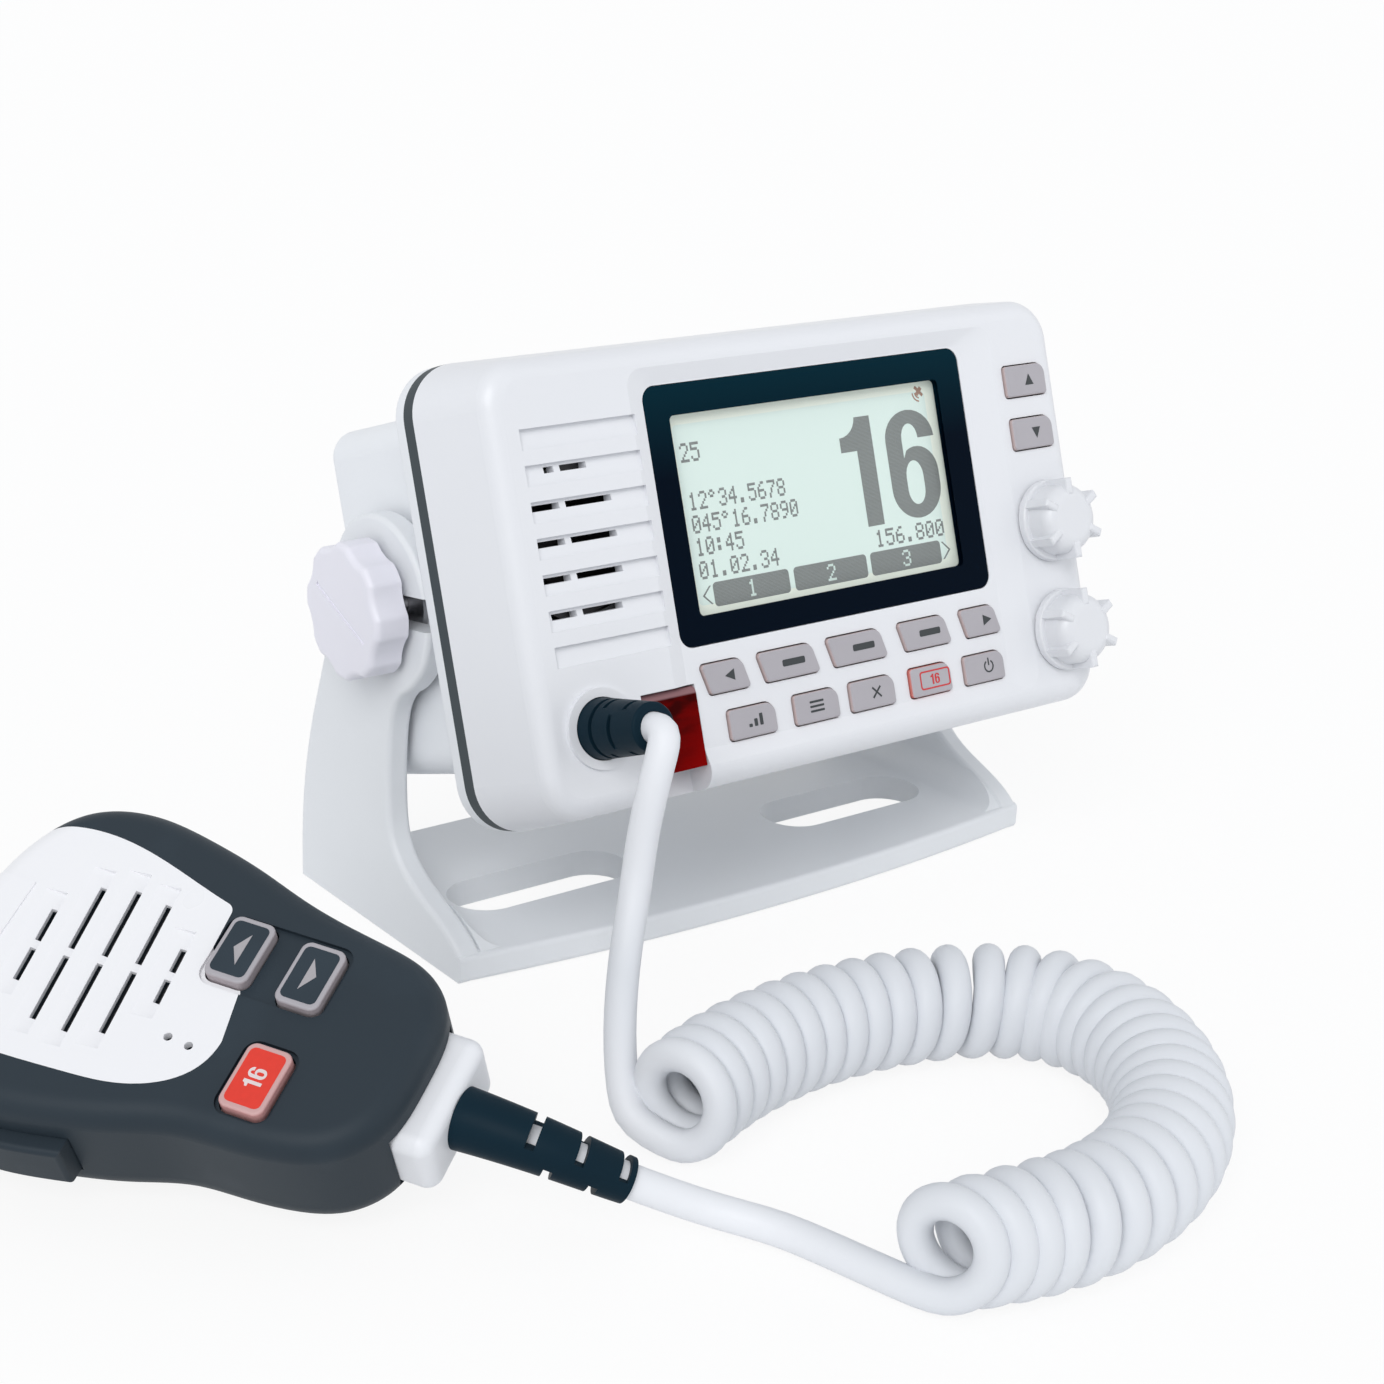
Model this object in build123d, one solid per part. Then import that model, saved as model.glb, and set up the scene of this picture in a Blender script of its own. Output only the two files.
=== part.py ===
from build123d import *
import os
from math import radians, tan

# Fixed-mount marine VHF radio on its tilting bracket, with a fist microphone on a curly cord.
# Millimetres. +X right, +Y back, +Z up. Origin: midway between the two mounting slots of the
# bracket, on its underside, which is also the surface that the set stands on.

# ---------------------------------------------------------------- driving sizes: bracket
leg_inset = 7.0              # inside of each leg, in from the front cover's edge
leg_thickness = 5.5
ear_radius = 19.5            # round top of each leg
base_thickness = 6.0
base_front = 30.2            # front edge, ahead of the slots, at mid width
base_front_sweep = 5.7       # how far the front corners lie behind the mid point
base_rear = 38.5
slot_spacing = 89.0          # between the centres of the two mounting slots
slot_length = 46.0
slot_width = 17.0
pivot_y = 9.0
pivot_z = 74.0
radio_tilt = 19.0            # face leans back by this much
leg_root_radius = 6.0        # fillet between leg and base
edge_round = 1.2
ear_slot_rise = 9.0          # the ears' open slots climb to the front by this much

# ---------------------------------------------------------------- driving sizes: clamp knobs
clamp_knob_radius = 14.8
clamp_knob_thickness = 7.6
clamp_knob_lobes = 8
clamp_scallop_radius = 9.0   # hollows between the lobes
clamp_scallop_depth = 1.1
clamp_lobe_round = 2.0
clamp_edge_round = 1.4
clamp_mark_width = 1.0       # line cut across the knob's face
clamp_mark_depth = 0.35
clamp_mark_turn = -22.0      # how far it leans from level
clamp_stud_radius = 3.0
clamp_stud_reach = 11.0      # thread inside the case
clamp_washer_radius = 9.0
clamp_washer_thickness = 1.2
clamp_insert_radius = 5.5
clamp_insert_floor = 2.0     # boss behind the end of the stud
clamp_boss_wall = 2.0
stud_clearance = 0.05
bracket_bore_clearance = 0.5
side_play = 0.15             # between the leg, its washers and the case
knob_play = 0.15

# ---------------------------------------------------------------- driving sizes: front cover
panel_width = 165.0
panel_height = 95.7
panel_corner = 11.0
cover_depth = 18.8
face_width = 152.6
face_height = 91.7
face_corner = 9.0
face_round = 4.5
side_wall = 2.6
front_wall = 3.8
panel_rise = -1.6            # panel centre above the tilt axis, along the panel
panel_seat = 29.2            # tilt axis to the back of the front cover
field_left = -43.0           # sunk field round the window and the keys
field_right = 58.0
field_top = 41.2
field_bottom = -41.2
field_depth = 1.3
field_left_ramp = 4.0
field_right_ramp = 8.0
field_top_ramp = 3.6
field_bottom_ramp = 3.4
field_corner = 4.0
gasket_thickness = 3.6
gasket_width = 4.2

# ---------------------------------------------------------------- driving sizes: window and display
window_width = 87.1
window_height = 53.9
window_x = 4.75
window_y = 10.3
window_thickness = 1.5
window_corner = 3.0
window_gap = 0.15
window_ledge = 3.2
window_sink = 0.1            # window's face below the sunk field
display_width = 80.0
display_height = 47.0
display_thickness = 5.0
display_gap = 0.1

# ---------------------------------------------------------------- driving sizes: control board
board_side_gap = 1.6         # between the board's right edge and the cover's side wall
board_top_gap = 3.2
board_foot_gap = 2.2
board_module_margin = 2.75   # left of the display module
board_tab_width = 9.0        # from the middle of the distress key to the left edge of the board
board_boss_gap = 1.0         # round the screw bosses
board_post_inset_x = 4.0     # mounting posts, in from the board's edges
board_post_inset_top = 3.5
board_post_inset_foot = 3.0
board_post_right = 2.0       # right-hand posts, in from the sunk field's edge
board_post_bite = 1.5        # between the end of a screw and the front wall

# ---------------------------------------------------------------- driving sizes: louvres and speaker
louvre_count = 7
louvre_pitch = 7.22
louvre_height = 4.2
louvre_top = 32.15
louvre_left = -70.3
louvre_depth = 1.4
louvre_foot_depth = 0.5
louvre_right = -42.0
grille_slot_height = 1.25
grille_slot_drop = 0.7
grille_rib = 1.5
grille_rib_x = -62.3
grille_rows = {1: (-65.4, -55.2), 2: (-69.8, -50.4), 3: (-69.8, -50.4),
               4: (-69.8, -50.4), 5: (-69.1, -51.8)}
speaker_x = -57.2
speaker_y = 8.4
speaker_radius = 16.4
speaker_rim = 2.2
speaker_rim_thickness = 1.5
speaker_depth = 15.9
speaker_skin = 1.0
magnet_radius = 10.0
magnet_length = 6.0
speaker_gap = 0.1

# ---------------------------------------------------------------- driving sizes: keys
key_travel = 0.8
key_gap = 0.3
key_proud = 0.9
key_flange = 0.9
key_flange_thickness = 0.8
key_height = 6.4
upper_row_y = -23.85
lower_row_y = -34.25
upper_row_slant = 1.7
upper_row = {                # name: (left edge, right edge) of the top of the key
    "key_left": (-35.3, -24.8),
    "key_soft_1": (-20.4, -5.9),
    "key_soft_2": (-1.5, 13.3),
    "key_soft_3": (18.9, 32.2),
    "key_right": (37.2, 47.3),
}
lower_row = {
    "key_level": (-30.2, -18.0),
    "key_menu": (-12.7, -0.7),
    "key_clear": (2.9, 15.3),
    "key_call": (20.2, 32.0),
    "key_power": (36.4, 48.2),
}
side_key_left = 60.3
side_key_right = 72.6
side_key_height = 7.0
side_keys = {"key_up": 27.9, "key_down": 15.9}
key_bottom = 12.0            # above the cover's back edge
key_corner = 0.8
key_big_corner = 2.4         # the top right corner
dome_radius = 2.2
dome_gap = 0.2
board_front = 9.9            # component face of the control board

# ---------------------------------------------------------------- driving sizes: rotary knobs
knob_x = 67.2
knob_rows = {"squelch": -4.45, "volume": -29.65}
knob_flange_radius = 9.3
knob_flange_thickness = 2.2
knob_body_radius = 8.2
knob_tip_radius = 7.7
knob_length = 8.7
knob_ribs = 6
knob_rib_width = 1.9
knob_rib_foot = 5.2          # inner and outer sides of a rib, from the knob's axis
knob_rib_outer = 9.1
knob_rib_tip = 0.1           # how far the ribs stand past the knob's tip
knob_rib_round = 0.7
knob_tip_round = 3.4
knob_flange_round = 0.6
knob_tip_wall = 3.0          # over the end of the shaft
knob_lift = 0.4              # between knob and face
shaft_radius = 2.5
shaft_clearance = 0.05
bush_radius = 3.6
bush_clearance = 0.15
encoder_size = 10.0
encoder_floor = 2.0          # under the end of the shaft
encoder_shaft_gap = 0.2

# ---------------------------------------------------------------- driving sizes: distress call key
pocket_width = 14.6
pocket_x = -44.5
pocket_top = -24.0
pocket_floor = 11.2
pocket_wall = 1.0
flap_gap = 0.25
flap_bottom = -41.0
flap_depth = 4.6
flap_wall = 1.1
flap_barrel_radius = 1.6
flap_pin_radius = 0.75
flap_pin_clearance = 0.05
flap_pin_seat = 0.8
flap_pin_z = 16.4
flap_barrel_gap = 0.3
call_key_size = 8.6
call_key_height = 3.2
call_key_travel = 0.7
call_stem_radius = 1.8
call_stem_length = 0.3
call_stem_clearance = 0.3
call_key_y = -32.6

# ---------------------------------------------------------------- driving sizes: microphone outlet
outlet_x = -62.5
outlet_y = -28.75
outlet_ring_radius = 8.25
outlet_ring_height = 1.0
relief_root_radius = 6.3
relief_neck_radius = 5.0
relief_length = 18.5
relief_first_ring = 4.3      # above the panel's face
relief_ring_pitch = 3.2
relief_groove = 1.1
relief_groove_depth = 1.2
relief_windows = 3           # pairs of slots past the ring, turned a quarter from pair to pair
relief_window_width = 8.4
relief_tip_round = 0.6
relief_socket = 3.0          # how far the cord reaches into the relief
relief_sleeve_clearance = 0.1
gland_tube_radius = 5.2

# ---------------------------------------------------------------- driving sizes: rear case
case_height = 76.1
case_rise = 1.35             # middle of the case above the panel's middle
case_depth = 45.2            # behind the flange
case_corner = 6.0
case_wall = 3.0
case_back_wall = 8.5
case_back_round = 3.0
case_inner_corner = 3.0
flange_thickness = 4.0
fin_count = 13
fin_pitch = 9.0
fin_groove = 5.0
fin_depth = 5.5
fin_bottom = -6.0
antenna_x = 40.0
power_gland_x = -41.0
data_gland_x = -24.0
rear_row_y = -22.0
antenna_flange = 22.0
antenna_thread_radius = 7.9
antenna_length = 17.0
antenna_wall = 2.0
antenna_bore_floor = 4.0     # metal behind the open end's bore
antenna_pin_radius = 1.5
antenna_pin_recess = 1.0
antenna_plate = 2.0
rear_gland_radius = 7.0
rear_gland_length = 9.0
rear_gland_taper = 2.0       # smaller at its outer end
rear_gland_neck = 5.5        # part that passes through the case
board_thickness = 1.6
main_board_width = 114.0
main_board_height = 62.0
standoff_height = 14.0
standoff_radius = 3.2
standoff_inset = 5.0
standoff_bore = 6.0          # depth of the hole in a standoff
board_screw_length = 5.0     # in the standoff
board_screw_radius = 1.3
board_screw_head = 2.4
case_screw_radius = 1.5
case_screw_head = 2.7
case_screw_inset_x = 4.4     # from the cover's outside, at the top of the boss, to the screw's axis
case_screw_inset_y = 6.6
screw_boss_radius = 3.4
screw_boss_height = 10.0
screw_reach = 8.0
head_height = 1.8
screw_clearance = 0.1

# ---------------------------------------------------------------- driving sizes: microphone
mic_x = -171.0
mic_y = -48.5
mic_lift = 39.7              # face centre above the surface
mic_heading = -58.4
mic_dip = 5.7
mic_roll = 30.2
mic_length_top = 29.0        # from the grille's centre to the far end
mic_length_foot = 63.0       # from the grille's centre to the cord end
mic_parting = 13.0           # depth of the joint between the shells
mic_thickness = 26.5
mic_face_round = 4.5
mic_back_round = 7.0
mic_wall = 2.6
mic_slot_pitch = 6.6
mic_slot_halves = (7.7, 14.3, 15.2, 13.8, 5.8)
mic_slot_width = 1.7
mic_slot_turn = 5.0          # the slots lean from the microphone's width
mic_slot_rib = 1.7
mic_slot_ramp = 4.4
mic_slot_ramp_depth = 1.2
mic_slot_ramp_end = 3.5
mic_panel_thickness = 1.7
mic_sound_holes = ((19.3, -10.3), (23.6, -10.7))
mic_sound_hole_radius = 0.8
mic_badge_width = 20.0       # raised blank plate on the far end
mic_badge_end = -20.0
mic_badge_proud = 0.4
mic_speaker_radius = 17.0
mic_speaker_thickness = 5.0
mic_key_length = 8.6
mic_key_width = 13.0
mic_key_corner = 1.8
mic_key_proud = 1.3
mic_key_travel = 0.7
mic_keys = {"mic_key_up": (22.9, 9.3), "mic_key_down": (37.3, 8.6), "mic_key_call": (38.2, -13.0)}
mic_tray_depth = 0.8
mic_tray_border = 1.0
mic_board_back = 7.3         # rear of the microphone's board, behind the face
mic_board_end = 50.0
mic_board_start = -13.0
mic_board_gap = 2.0          # round the board
mic_switch_x = (-5.0, 3.0)   # talk switch on the back of the board
mic_switch_inner = -20.0
mic_switch_height = 7.0
mic_post_x = (20.5, 46.0)
mic_post_y = -2.0
mic_screw_places = ((-18.0, 20.0), (-18.0, -19.0), (50.0, 13.5), (50.0, -13.5))
mic_screw_radius = 1.2
mic_screw_head = 2.3
mic_boss_radius = 3.0
ptt_left = -14.0
ptt_right = 9.0
ptt_high = 8.0               # edges of the talk switch, below the face
ptt_low = 18.0
ptt_proud = 3.2
ptt_gap = 0.3
ptt_lip = 1.2
ptt_round = 1.0
ptt_travel = 1.5
ptt_board_gap = 0.5          # between the pressed switch bar and the board
ptt_narrowing = 1.6          # how far the side comes in along the bar
mic_side = 31.4
button_post_radius = 4.0
button_head_radius = 7.0
button_head_thickness = 2.6
button_length = 15.5
button_x = 2.0
boot_width = 24.4
boot_height = 15.0
boot_round = 3.0
boot_collar = 2.5
boot_drop = 14.9             # middle of the boot below the face
boot_start = 55.0
boot_end = 68.5
boot_gap = 0.2
mic_relief_root = 5.7
mic_relief_tip = 4.2
mic_relief_length = 31.0
mic_relief_window = 1.7
mic_relief_windows = 5
mic_relief_first_window = 0.42   # share of the relief's length
mic_relief_window_pitch = 0.13
cord_clearance = 0.05

# ---------------------------------------------------------------- driving sizes: curly cord
cord_diameter = 6.3
coil_diameter = 23.0
coil_height = 11.6           # middle of the coil above the surface
coil_route = [(-82.6, -104.3), (-73.5, -100.6), (-62.0, -98.0), (-48.0, -96.4), (-34.0, -97.4),
              (-20.0, -100.6), (-8.0, -106.2), (1.0, -114.6), (4.6, -126.0), (2.4, -139.2),
              (-6.0, -154.0), (-19.0, -165.6), (-34.0, -172.4), (-49.0, -174.6), (-62.0, -173.0),
              (-74.5, -169.2)]
drop_route = [(-64.4, -74.2, 63.2), (-66.4, -73.6, 55.0), (-70.4, -71.6, 37.0), (-76.5, -75.6, 26.4), (-83.6, -84.5, 16.8),
              (-90.4, -94.4, 10.2), (-90.6, -102.0, 5.2), (-85.9, -106.6, 3.4)]
tail_route = [(-108.4, -122.6, 11.0), (-95.6, -128.2, 4.2), (-88.0, -138.4, 3.4), (-84.8, -150.0, 3.3),
              (-82.0, -160.0, 3.3), (-76.9, -168.5, 3.4)]
mouth_lead = 4.5             # straight stretch beyond the panel's relief
boot_lead = 12.0             # straight stretch beyond the microphone's boot

os.makedirs("parts", exist_ok=True)
nodes = {}


def add(name, *solids):
    """Keep the solids of one named piece."""
    nodes[name] = solids[0] if len(solids) == 1 else Compound(children=list(solids))
    return nodes[name]


def rod(radius, z0, z1, x=0.0, y=0.0):
    """Upright cylinder between two heights."""
    return Pos(x, y, (z0 + z1) / 2) * Cylinder(radius, z1 - z0)


def block(x0, x1, y0, y1, z0, z1):
    """Box between two corners."""
    return Pos((x0 + x1) / 2, (y0 + y1) / 2, (z0 + z1) / 2) * Box(x1 - x0, y1 - y0, z1 - z0)


def plate(width, height, corner, z0, z1, x=0.0, y=0.0):
    """Flat piece with rounded corners between two heights."""
    return extrude(Pos(x, y, z0) * RectangleRounded(width, height, corner), z1 - z0)


def side_rod(radius, x0, x1, y=0.0, z=0.0):
    """Cylinder along X."""
    return Pos((x0 + x1) / 2, y, z) * Rot(0, 90, 0) * Cylinder(radius, x1 - x0)


# Frames. RADIO has its origin on the tilt axis, PANEL at the middle of the front cover's back
# edge; both have +Y up along the panel and +Z out of its face.
RADIO = Pos(0, pivot_y, pivot_z) * Rot(90 - radio_tilt, 0, 0)
PANEL = RADIO * Pos(0, panel_rise, panel_seat)
MIC = Pos(mic_x, mic_y, mic_lift) * Rot(0, 0, mic_heading) * Rot(0, mic_dip, 0) * Rot(mic_roll, 0, 0)
axis_y = -panel_rise                     # tilt axis seen from the PANEL frame
axis_z = -panel_seat
bracket_inner = panel_width - 2 * leg_inset
leg_outer = bracket_inner / 2 + leg_thickness
case_half = bracket_inner / 2 - clamp_washer_thickness - 2 * side_play
ceiling = cover_depth - front_wall       # inner face of the front wall
flange_back = -gasket_thickness - flange_thickness
case_back = flange_back - case_depth
display_back = ceiling - display_gap - display_thickness


def span(z):
    """Half width and half height of the front cover's outside at one depth."""
    share = z / cover_depth
    half_width = (panel_width + (face_width - panel_width) * share) / 2
    half_height = (panel_height + (face_height - panel_height) * share) / 2
    return half_width, half_height


def cover_section(z, inset):
    """Outline of the front cover at one depth, moved inward."""
    half_width, half_height = span(z)
    corner = panel_corner + (face_corner - panel_corner) * z / cover_depth
    return Pos(0, 0, z) * RectangleRounded(
        2 * (half_width - inset), 2 * (half_height - inset), corner - inset)


def key_outline(left, right, y, height, slant=0.0):
    """Flat outline of a key: left and right are the ends of its top edge."""
    top = y + height / 2
    foot = y - height / 2
    shape = make_face(Polyline((left, top), (right, top), (right + slant, foot), (left + slant, foot),
                               close=True))
    corners = shape.vertices().sort_by(Axis.X)
    big = [v for v in corners if v.Y > y][-1]
    rest = [v for v in corners if v != big]
    shape = fillet(big, key_big_corner)
    rest = [v for v in shape.vertices()
            if min(abs(v.X - r.X) + abs(v.Y - r.Y) for r in rest) < key_corner / 2]
    return fillet(rest, key_corner)


def screw_places(x, y, mid=0.0):
    """Four corners of a rectangle."""
    return [(sx * x, mid + sy * y) for sx in (-1, 1) for sy in (-1, 1)]


case_screw_x = span(screw_boss_height)[0] - case_screw_inset_x
case_screw_y = span(screw_boss_height)[1] - case_screw_inset_y


# ---------------------------------------------------------------- bracket
def leg_profile():
    """Side view of one leg, drawn in Y and Z: ear, waist, and a foot that runs out to the front."""
    front = Spline((-9.6, 68.5), (-5.3, 61.0), (2.1, 54.3), (4.9, 44.3), (5.0, 30.5), (3.0, 21.8),
                   (-2.3, 16.7), (-8.5, 13.7), (-24.0, base_thickness))
    rear = Spline((43.4, base_thickness), (42.7, 18.3), (41.1, 28.6), (36.7, 44.3), (33.0, 54.8),
                  (pivot_y + ear_radius, pivot_z))
    return front, rear


front_edge, rear_edge = leg_profile()
waist = make_face([front_edge, Line(front_edge @ 1, (-24.0, 0)), Line((-24.0, 0), (43.4, 0)),
                   Line((43.4, 0), rear_edge @ 0), rear_edge, Line(rear_edge @ 1, front_edge @ 0)])
leg_face = waist + Pos(pivot_y, pivot_z) * Circle(ear_radius)
inner = bracket_inner / 2
bracket_legs = []
for side in (-1, 1):
    x0 = inner if side > 0 else -leg_outer
    leg = extrude(Plane.YZ.offset(x0) * leg_face, leg_thickness)
    rims = [e for e in leg.edges() if e.bounding_box().max.Z > base_thickness + 2
            and abs(e.bounding_box().min.X - e.bounding_box().max.X) < 0.01]
    leg = fillet(rims, edge_round)
    cove_start = inner - leg_root_radius if side > 0 else -inner
    cove = extrude(Plane.YZ.offset(cove_start) * leg_face, leg_root_radius)
    hollow_x = side * (inner - leg_root_radius)
    low = block(-leg_outer, leg_outer, -60, base_rear, 0, base_thickness + leg_root_radius)
    cove = (cove & low) - Pos(hollow_x, 0, base_thickness + leg_root_radius) * Rot(90, 0, 0) * Cylinder(
        leg_root_radius, 200)
    bracket_legs += [leg, cove]
corner_y = -base_front + base_front_sweep
front_arc = ThreePointArc((-leg_outer, corner_y), (0, -base_front), (leg_outer, corner_y))
base_face = make_face([front_arc, Line((leg_outer, corner_y), (leg_outer, base_rear)),
                       Line((leg_outer, base_rear), (-leg_outer, base_rear)),
                       Line((-leg_outer, base_rear), (-leg_outer, corner_y))])
base = extrude(base_face, base_thickness)
front_rim = [e for e in base.edges() if e.bounding_box().max.Y < corner_y + 0.1 and e.length > 50]
base = fillet(front_rim, edge_round)
bracket = base
for piece in bracket_legs:
    bracket += piece
for side in (-1, 1):
    bracket -= Pos(side * slot_spacing / 2, 0, base_thickness / 2) * extrude(
        SlotOverall(slot_length, slot_width), base_thickness, both=True)
bore_radius = clamp_stud_radius + bracket_bore_clearance
bracket -= side_rod(bore_radius, -100, 100, pivot_y, pivot_z)
bracket -= Pos(0, pivot_y, pivot_z) * Rot(-ear_slot_rise, 0, 0) * Pos(0, -ear_radius, 0) * Box(
    4 * leg_outer, 2 * ear_radius, 2 * bore_radius)
add("mounting_bracket", bracket)

# ---------------------------------------------------------------- clamp knobs, studs, washers
knob_start = leg_outer + clamp_washer_thickness + 2 * knob_play
lobed = Circle(clamp_knob_radius)
for i in range(clamp_knob_lobes):
    angle = 360 / clamp_knob_lobes * (i + 0.5)
    reach = clamp_knob_radius + clamp_scallop_radius - clamp_scallop_depth
    lobed -= Rot(0, 0, angle) * Pos(reach, 0) * Circle(clamp_scallop_radius)
lobed = fillet(lobed.vertices(), clamp_lobe_round)
knob = extrude(lobed, clamp_knob_thickness)
knob = fillet(knob.faces().sort_by(Axis.Z)[-1].edges(), clamp_edge_round)
knob -= Rot(0, 0, clamp_mark_turn) * Pos(0, 0, clamp_knob_thickness) * Box(
    clamp_mark_width, 1.4 * clamp_knob_radius, 2 * clamp_mark_depth)
knob -= rod(clamp_stud_radius, -1, clamp_knob_thickness / 2)
washers = []
inserts = []
for side, word in ((-1, "left"), (1, "right")):
    facing = Rot(0, side * 90, 0)
    axis = Pos(side * knob_start, pivot_y, pivot_z)
    add("clamp_knob_" + word, axis * facing * knob)
    tip = case_half - clamp_stud_reach
    stud = side_rod(clamp_stud_radius, tip, knob_start + clamp_knob_thickness / 2, pivot_y, pivot_z)
    add("clamp_stud_" + word, stud if side > 0 else mirror(stud, Plane.YZ))
    for start in (case_half + side_play, leg_outer + knob_play):
        ring = side_rod(clamp_washer_radius, start, start + clamp_washer_thickness, pivot_y, pivot_z)
        ring -= side_rod(clamp_stud_radius + stud_clearance, 0, 200, pivot_y, pivot_z)
        washers.append(ring if side > 0 else mirror(ring, Plane.YZ))
add("clamp_washers", *washers)

# ---------------------------------------------------------------- front cover
cover = loft([cover_section(0, 0).face(), cover_section(cover_depth, 0).face()])
cover = fillet(cover.faces().sort_by(Axis.Z)[-1].edges(), face_round)
outside = cover
cover -= loft([cover_section(0, side_wall).face(), cover_section(ceiling, side_wall).face()])
floor_z = cover_depth - field_depth
field_mid = ((field_left + field_right) / 2, (field_top + field_bottom) / 2)
sunk = Pos(*field_mid, cover_depth) * RectangleRounded(
    field_right - field_left, field_top - field_bottom, field_corner)
deep_x = ((field_left + field_left_ramp + field_right - field_right_ramp) / 2,
          field_right - field_right_ramp - field_left - field_left_ramp)
deep_y = ((field_top - field_top_ramp + field_bottom + field_bottom_ramp) / 2,
          field_top - field_top_ramp - field_bottom - field_bottom_ramp)
deep = Pos(deep_x[0], deep_y[0], floor_z) * RectangleRounded(deep_x[1], deep_y[1], field_corner)
cover -= loft([deep.face(), sunk.face()])

pocket_left = pocket_x - pocket_width / 2
pocket_right = pocket_x + pocket_width / 2
tub = block(pocket_left - pocket_wall, pocket_right + pocket_wall, -60, pocket_top + pocket_wall,
            pocket_floor - pocket_wall, ceiling)
cover += tub & outside
cover -= block(pocket_left, pocket_right, -60, pocket_top, pocket_floor, 30)
for x, y in screw_places(case_screw_x, case_screw_y):
    cover += rod(screw_boss_radius, 0, screw_boss_height, x, y)
    cover -= rod(case_screw_radius, -1, screw_reach, x, y)

for row in range(louvre_count):
    top = louvre_top - row * louvre_pitch
    foot = top - louvre_height
    wedge = make_face(Polyline((top, cover_depth + 1), (top, cover_depth - louvre_depth),
                               (foot, cover_depth - louvre_foot_depth), (foot, cover_depth + 1), close=True))
    cover -= extrude(Plane.YZ.offset(louvre_left) * wedge, louvre_right - louvre_left)
    if row in grille_rows:
        left, right = grille_rows[row]
        high = top - grille_slot_drop
        slots = block(left, right, high - grille_slot_height, high, ceiling - 1, cover_depth + 1)
        slots -= block(grille_rib_x - grille_rib / 2, grille_rib_x + grille_rib / 2, -60, 60, 0, 30)
        cover -= slots

window_face = floor_z - window_sink
window_back = window_face - window_thickness
cover -= plate(window_width + 2 * window_gap, window_height + 2 * window_gap, window_corner + window_gap,
               window_back, 30, window_x, window_y)
cover -= plate(window_width - 2 * window_ledge, window_height - 2 * window_ledge, window_corner / 2,
               0, 30, window_x, window_y)
window = plate(window_width, window_height, window_corner, window_back, window_face, window_x, window_y)
add("display_window", PANEL * window)
add("display_module", PANEL * plate(display_width, display_height, 1.0, display_back,
                                    ceiling - display_gap, window_x, window_y))

# ---------------------------------------------------------------- keys of the front cover
key_shapes = {}
for name, (left, right) in upper_row.items():
    key_shapes[name] = (key_outline(left, right, upper_row_y, key_height, upper_row_slant), floor_z)
for name, (left, right) in lower_row.items():
    key_shapes[name] = (key_outline(left, right, lower_row_y, key_height), floor_z)
for name, y in side_keys.items():
    key_shapes[name] = (key_outline(side_key_left, side_key_right, y, side_key_height), cover_depth)
domes = []
flange_front = ceiling - key_gap
for name, (outline, surface) in key_shapes.items():
    cover -= extrude(offset(outline, key_gap), 40)
    cap = extrude(Pos(0, 0, key_bottom) * outline, surface + key_proud - key_bottom)
    rim = cap.faces().sort_by(Axis.Z)[-1].edges()
    cap = fillet(rim, 0.4)
    cap += extrude(Pos(0, 0, flange_front - key_flange_thickness) * offset(outline, key_flange),
                   key_flange_thickness)
    add(name, PANEL * cap)
    mid = outline.center()
    domes.append(rod(dome_radius, board_front, key_bottom - key_travel - dome_gap, mid.X, mid.Y))

# ---------------------------------------------------------------- distress call key under its flap
pin_y = pocket_top - flap_barrel_gap - flap_barrel_radius
flap_front = flap_pin_z + flap_barrel_radius
flap_left = pocket_left + flap_gap
flap_right = pocket_right - flap_gap
flap = block(flap_left, flap_right, flap_bottom, pin_y, flap_front - flap_depth, flap_front)
flap -= block(flap_left + flap_wall, flap_right - flap_wall, flap_bottom + flap_wall, 60,
              0, flap_front - flap_wall)
flap -= block(-200, 200, pin_y - flap_barrel_radius, 60, 0, flap_front - flap_wall)
flap += side_rod(flap_barrel_radius, flap_left, flap_right, pin_y, flap_pin_z)
flap -= side_rod(flap_pin_radius + flap_pin_clearance, -200, 200, pin_y, flap_pin_z)
add("distress_flap", PANEL * flap)
pin_ends = (pocket_left - flap_pin_seat, pocket_right + flap_pin_seat)
pin = side_rod(flap_pin_radius, *pin_ends, pin_y, flap_pin_z)
cover -= pin
add("distress_flap_pin", PANEL * pin)
dome_front = board_front + key_bottom - key_travel - dome_gap - board_front
stem_bottom = dome_front + call_key_travel + dome_gap / 2
cap_bottom = stem_bottom + call_stem_length
call_key = plate(call_key_size, call_key_size, 1.0, cap_bottom, cap_bottom + call_key_height,
                 pocket_x, call_key_y)
call_key += rod(call_stem_radius, stem_bottom, cap_bottom, pocket_x, call_key_y)
add("distress_key", PANEL * call_key)
cover -= rod(call_stem_radius + call_stem_clearance, 0, 30, pocket_x, call_key_y)
domes.append(rod(call_stem_radius - call_stem_clearance, board_front, dome_front, pocket_x, call_key_y))
add("key_domes", PANEL * Compound(children=domes))

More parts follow.
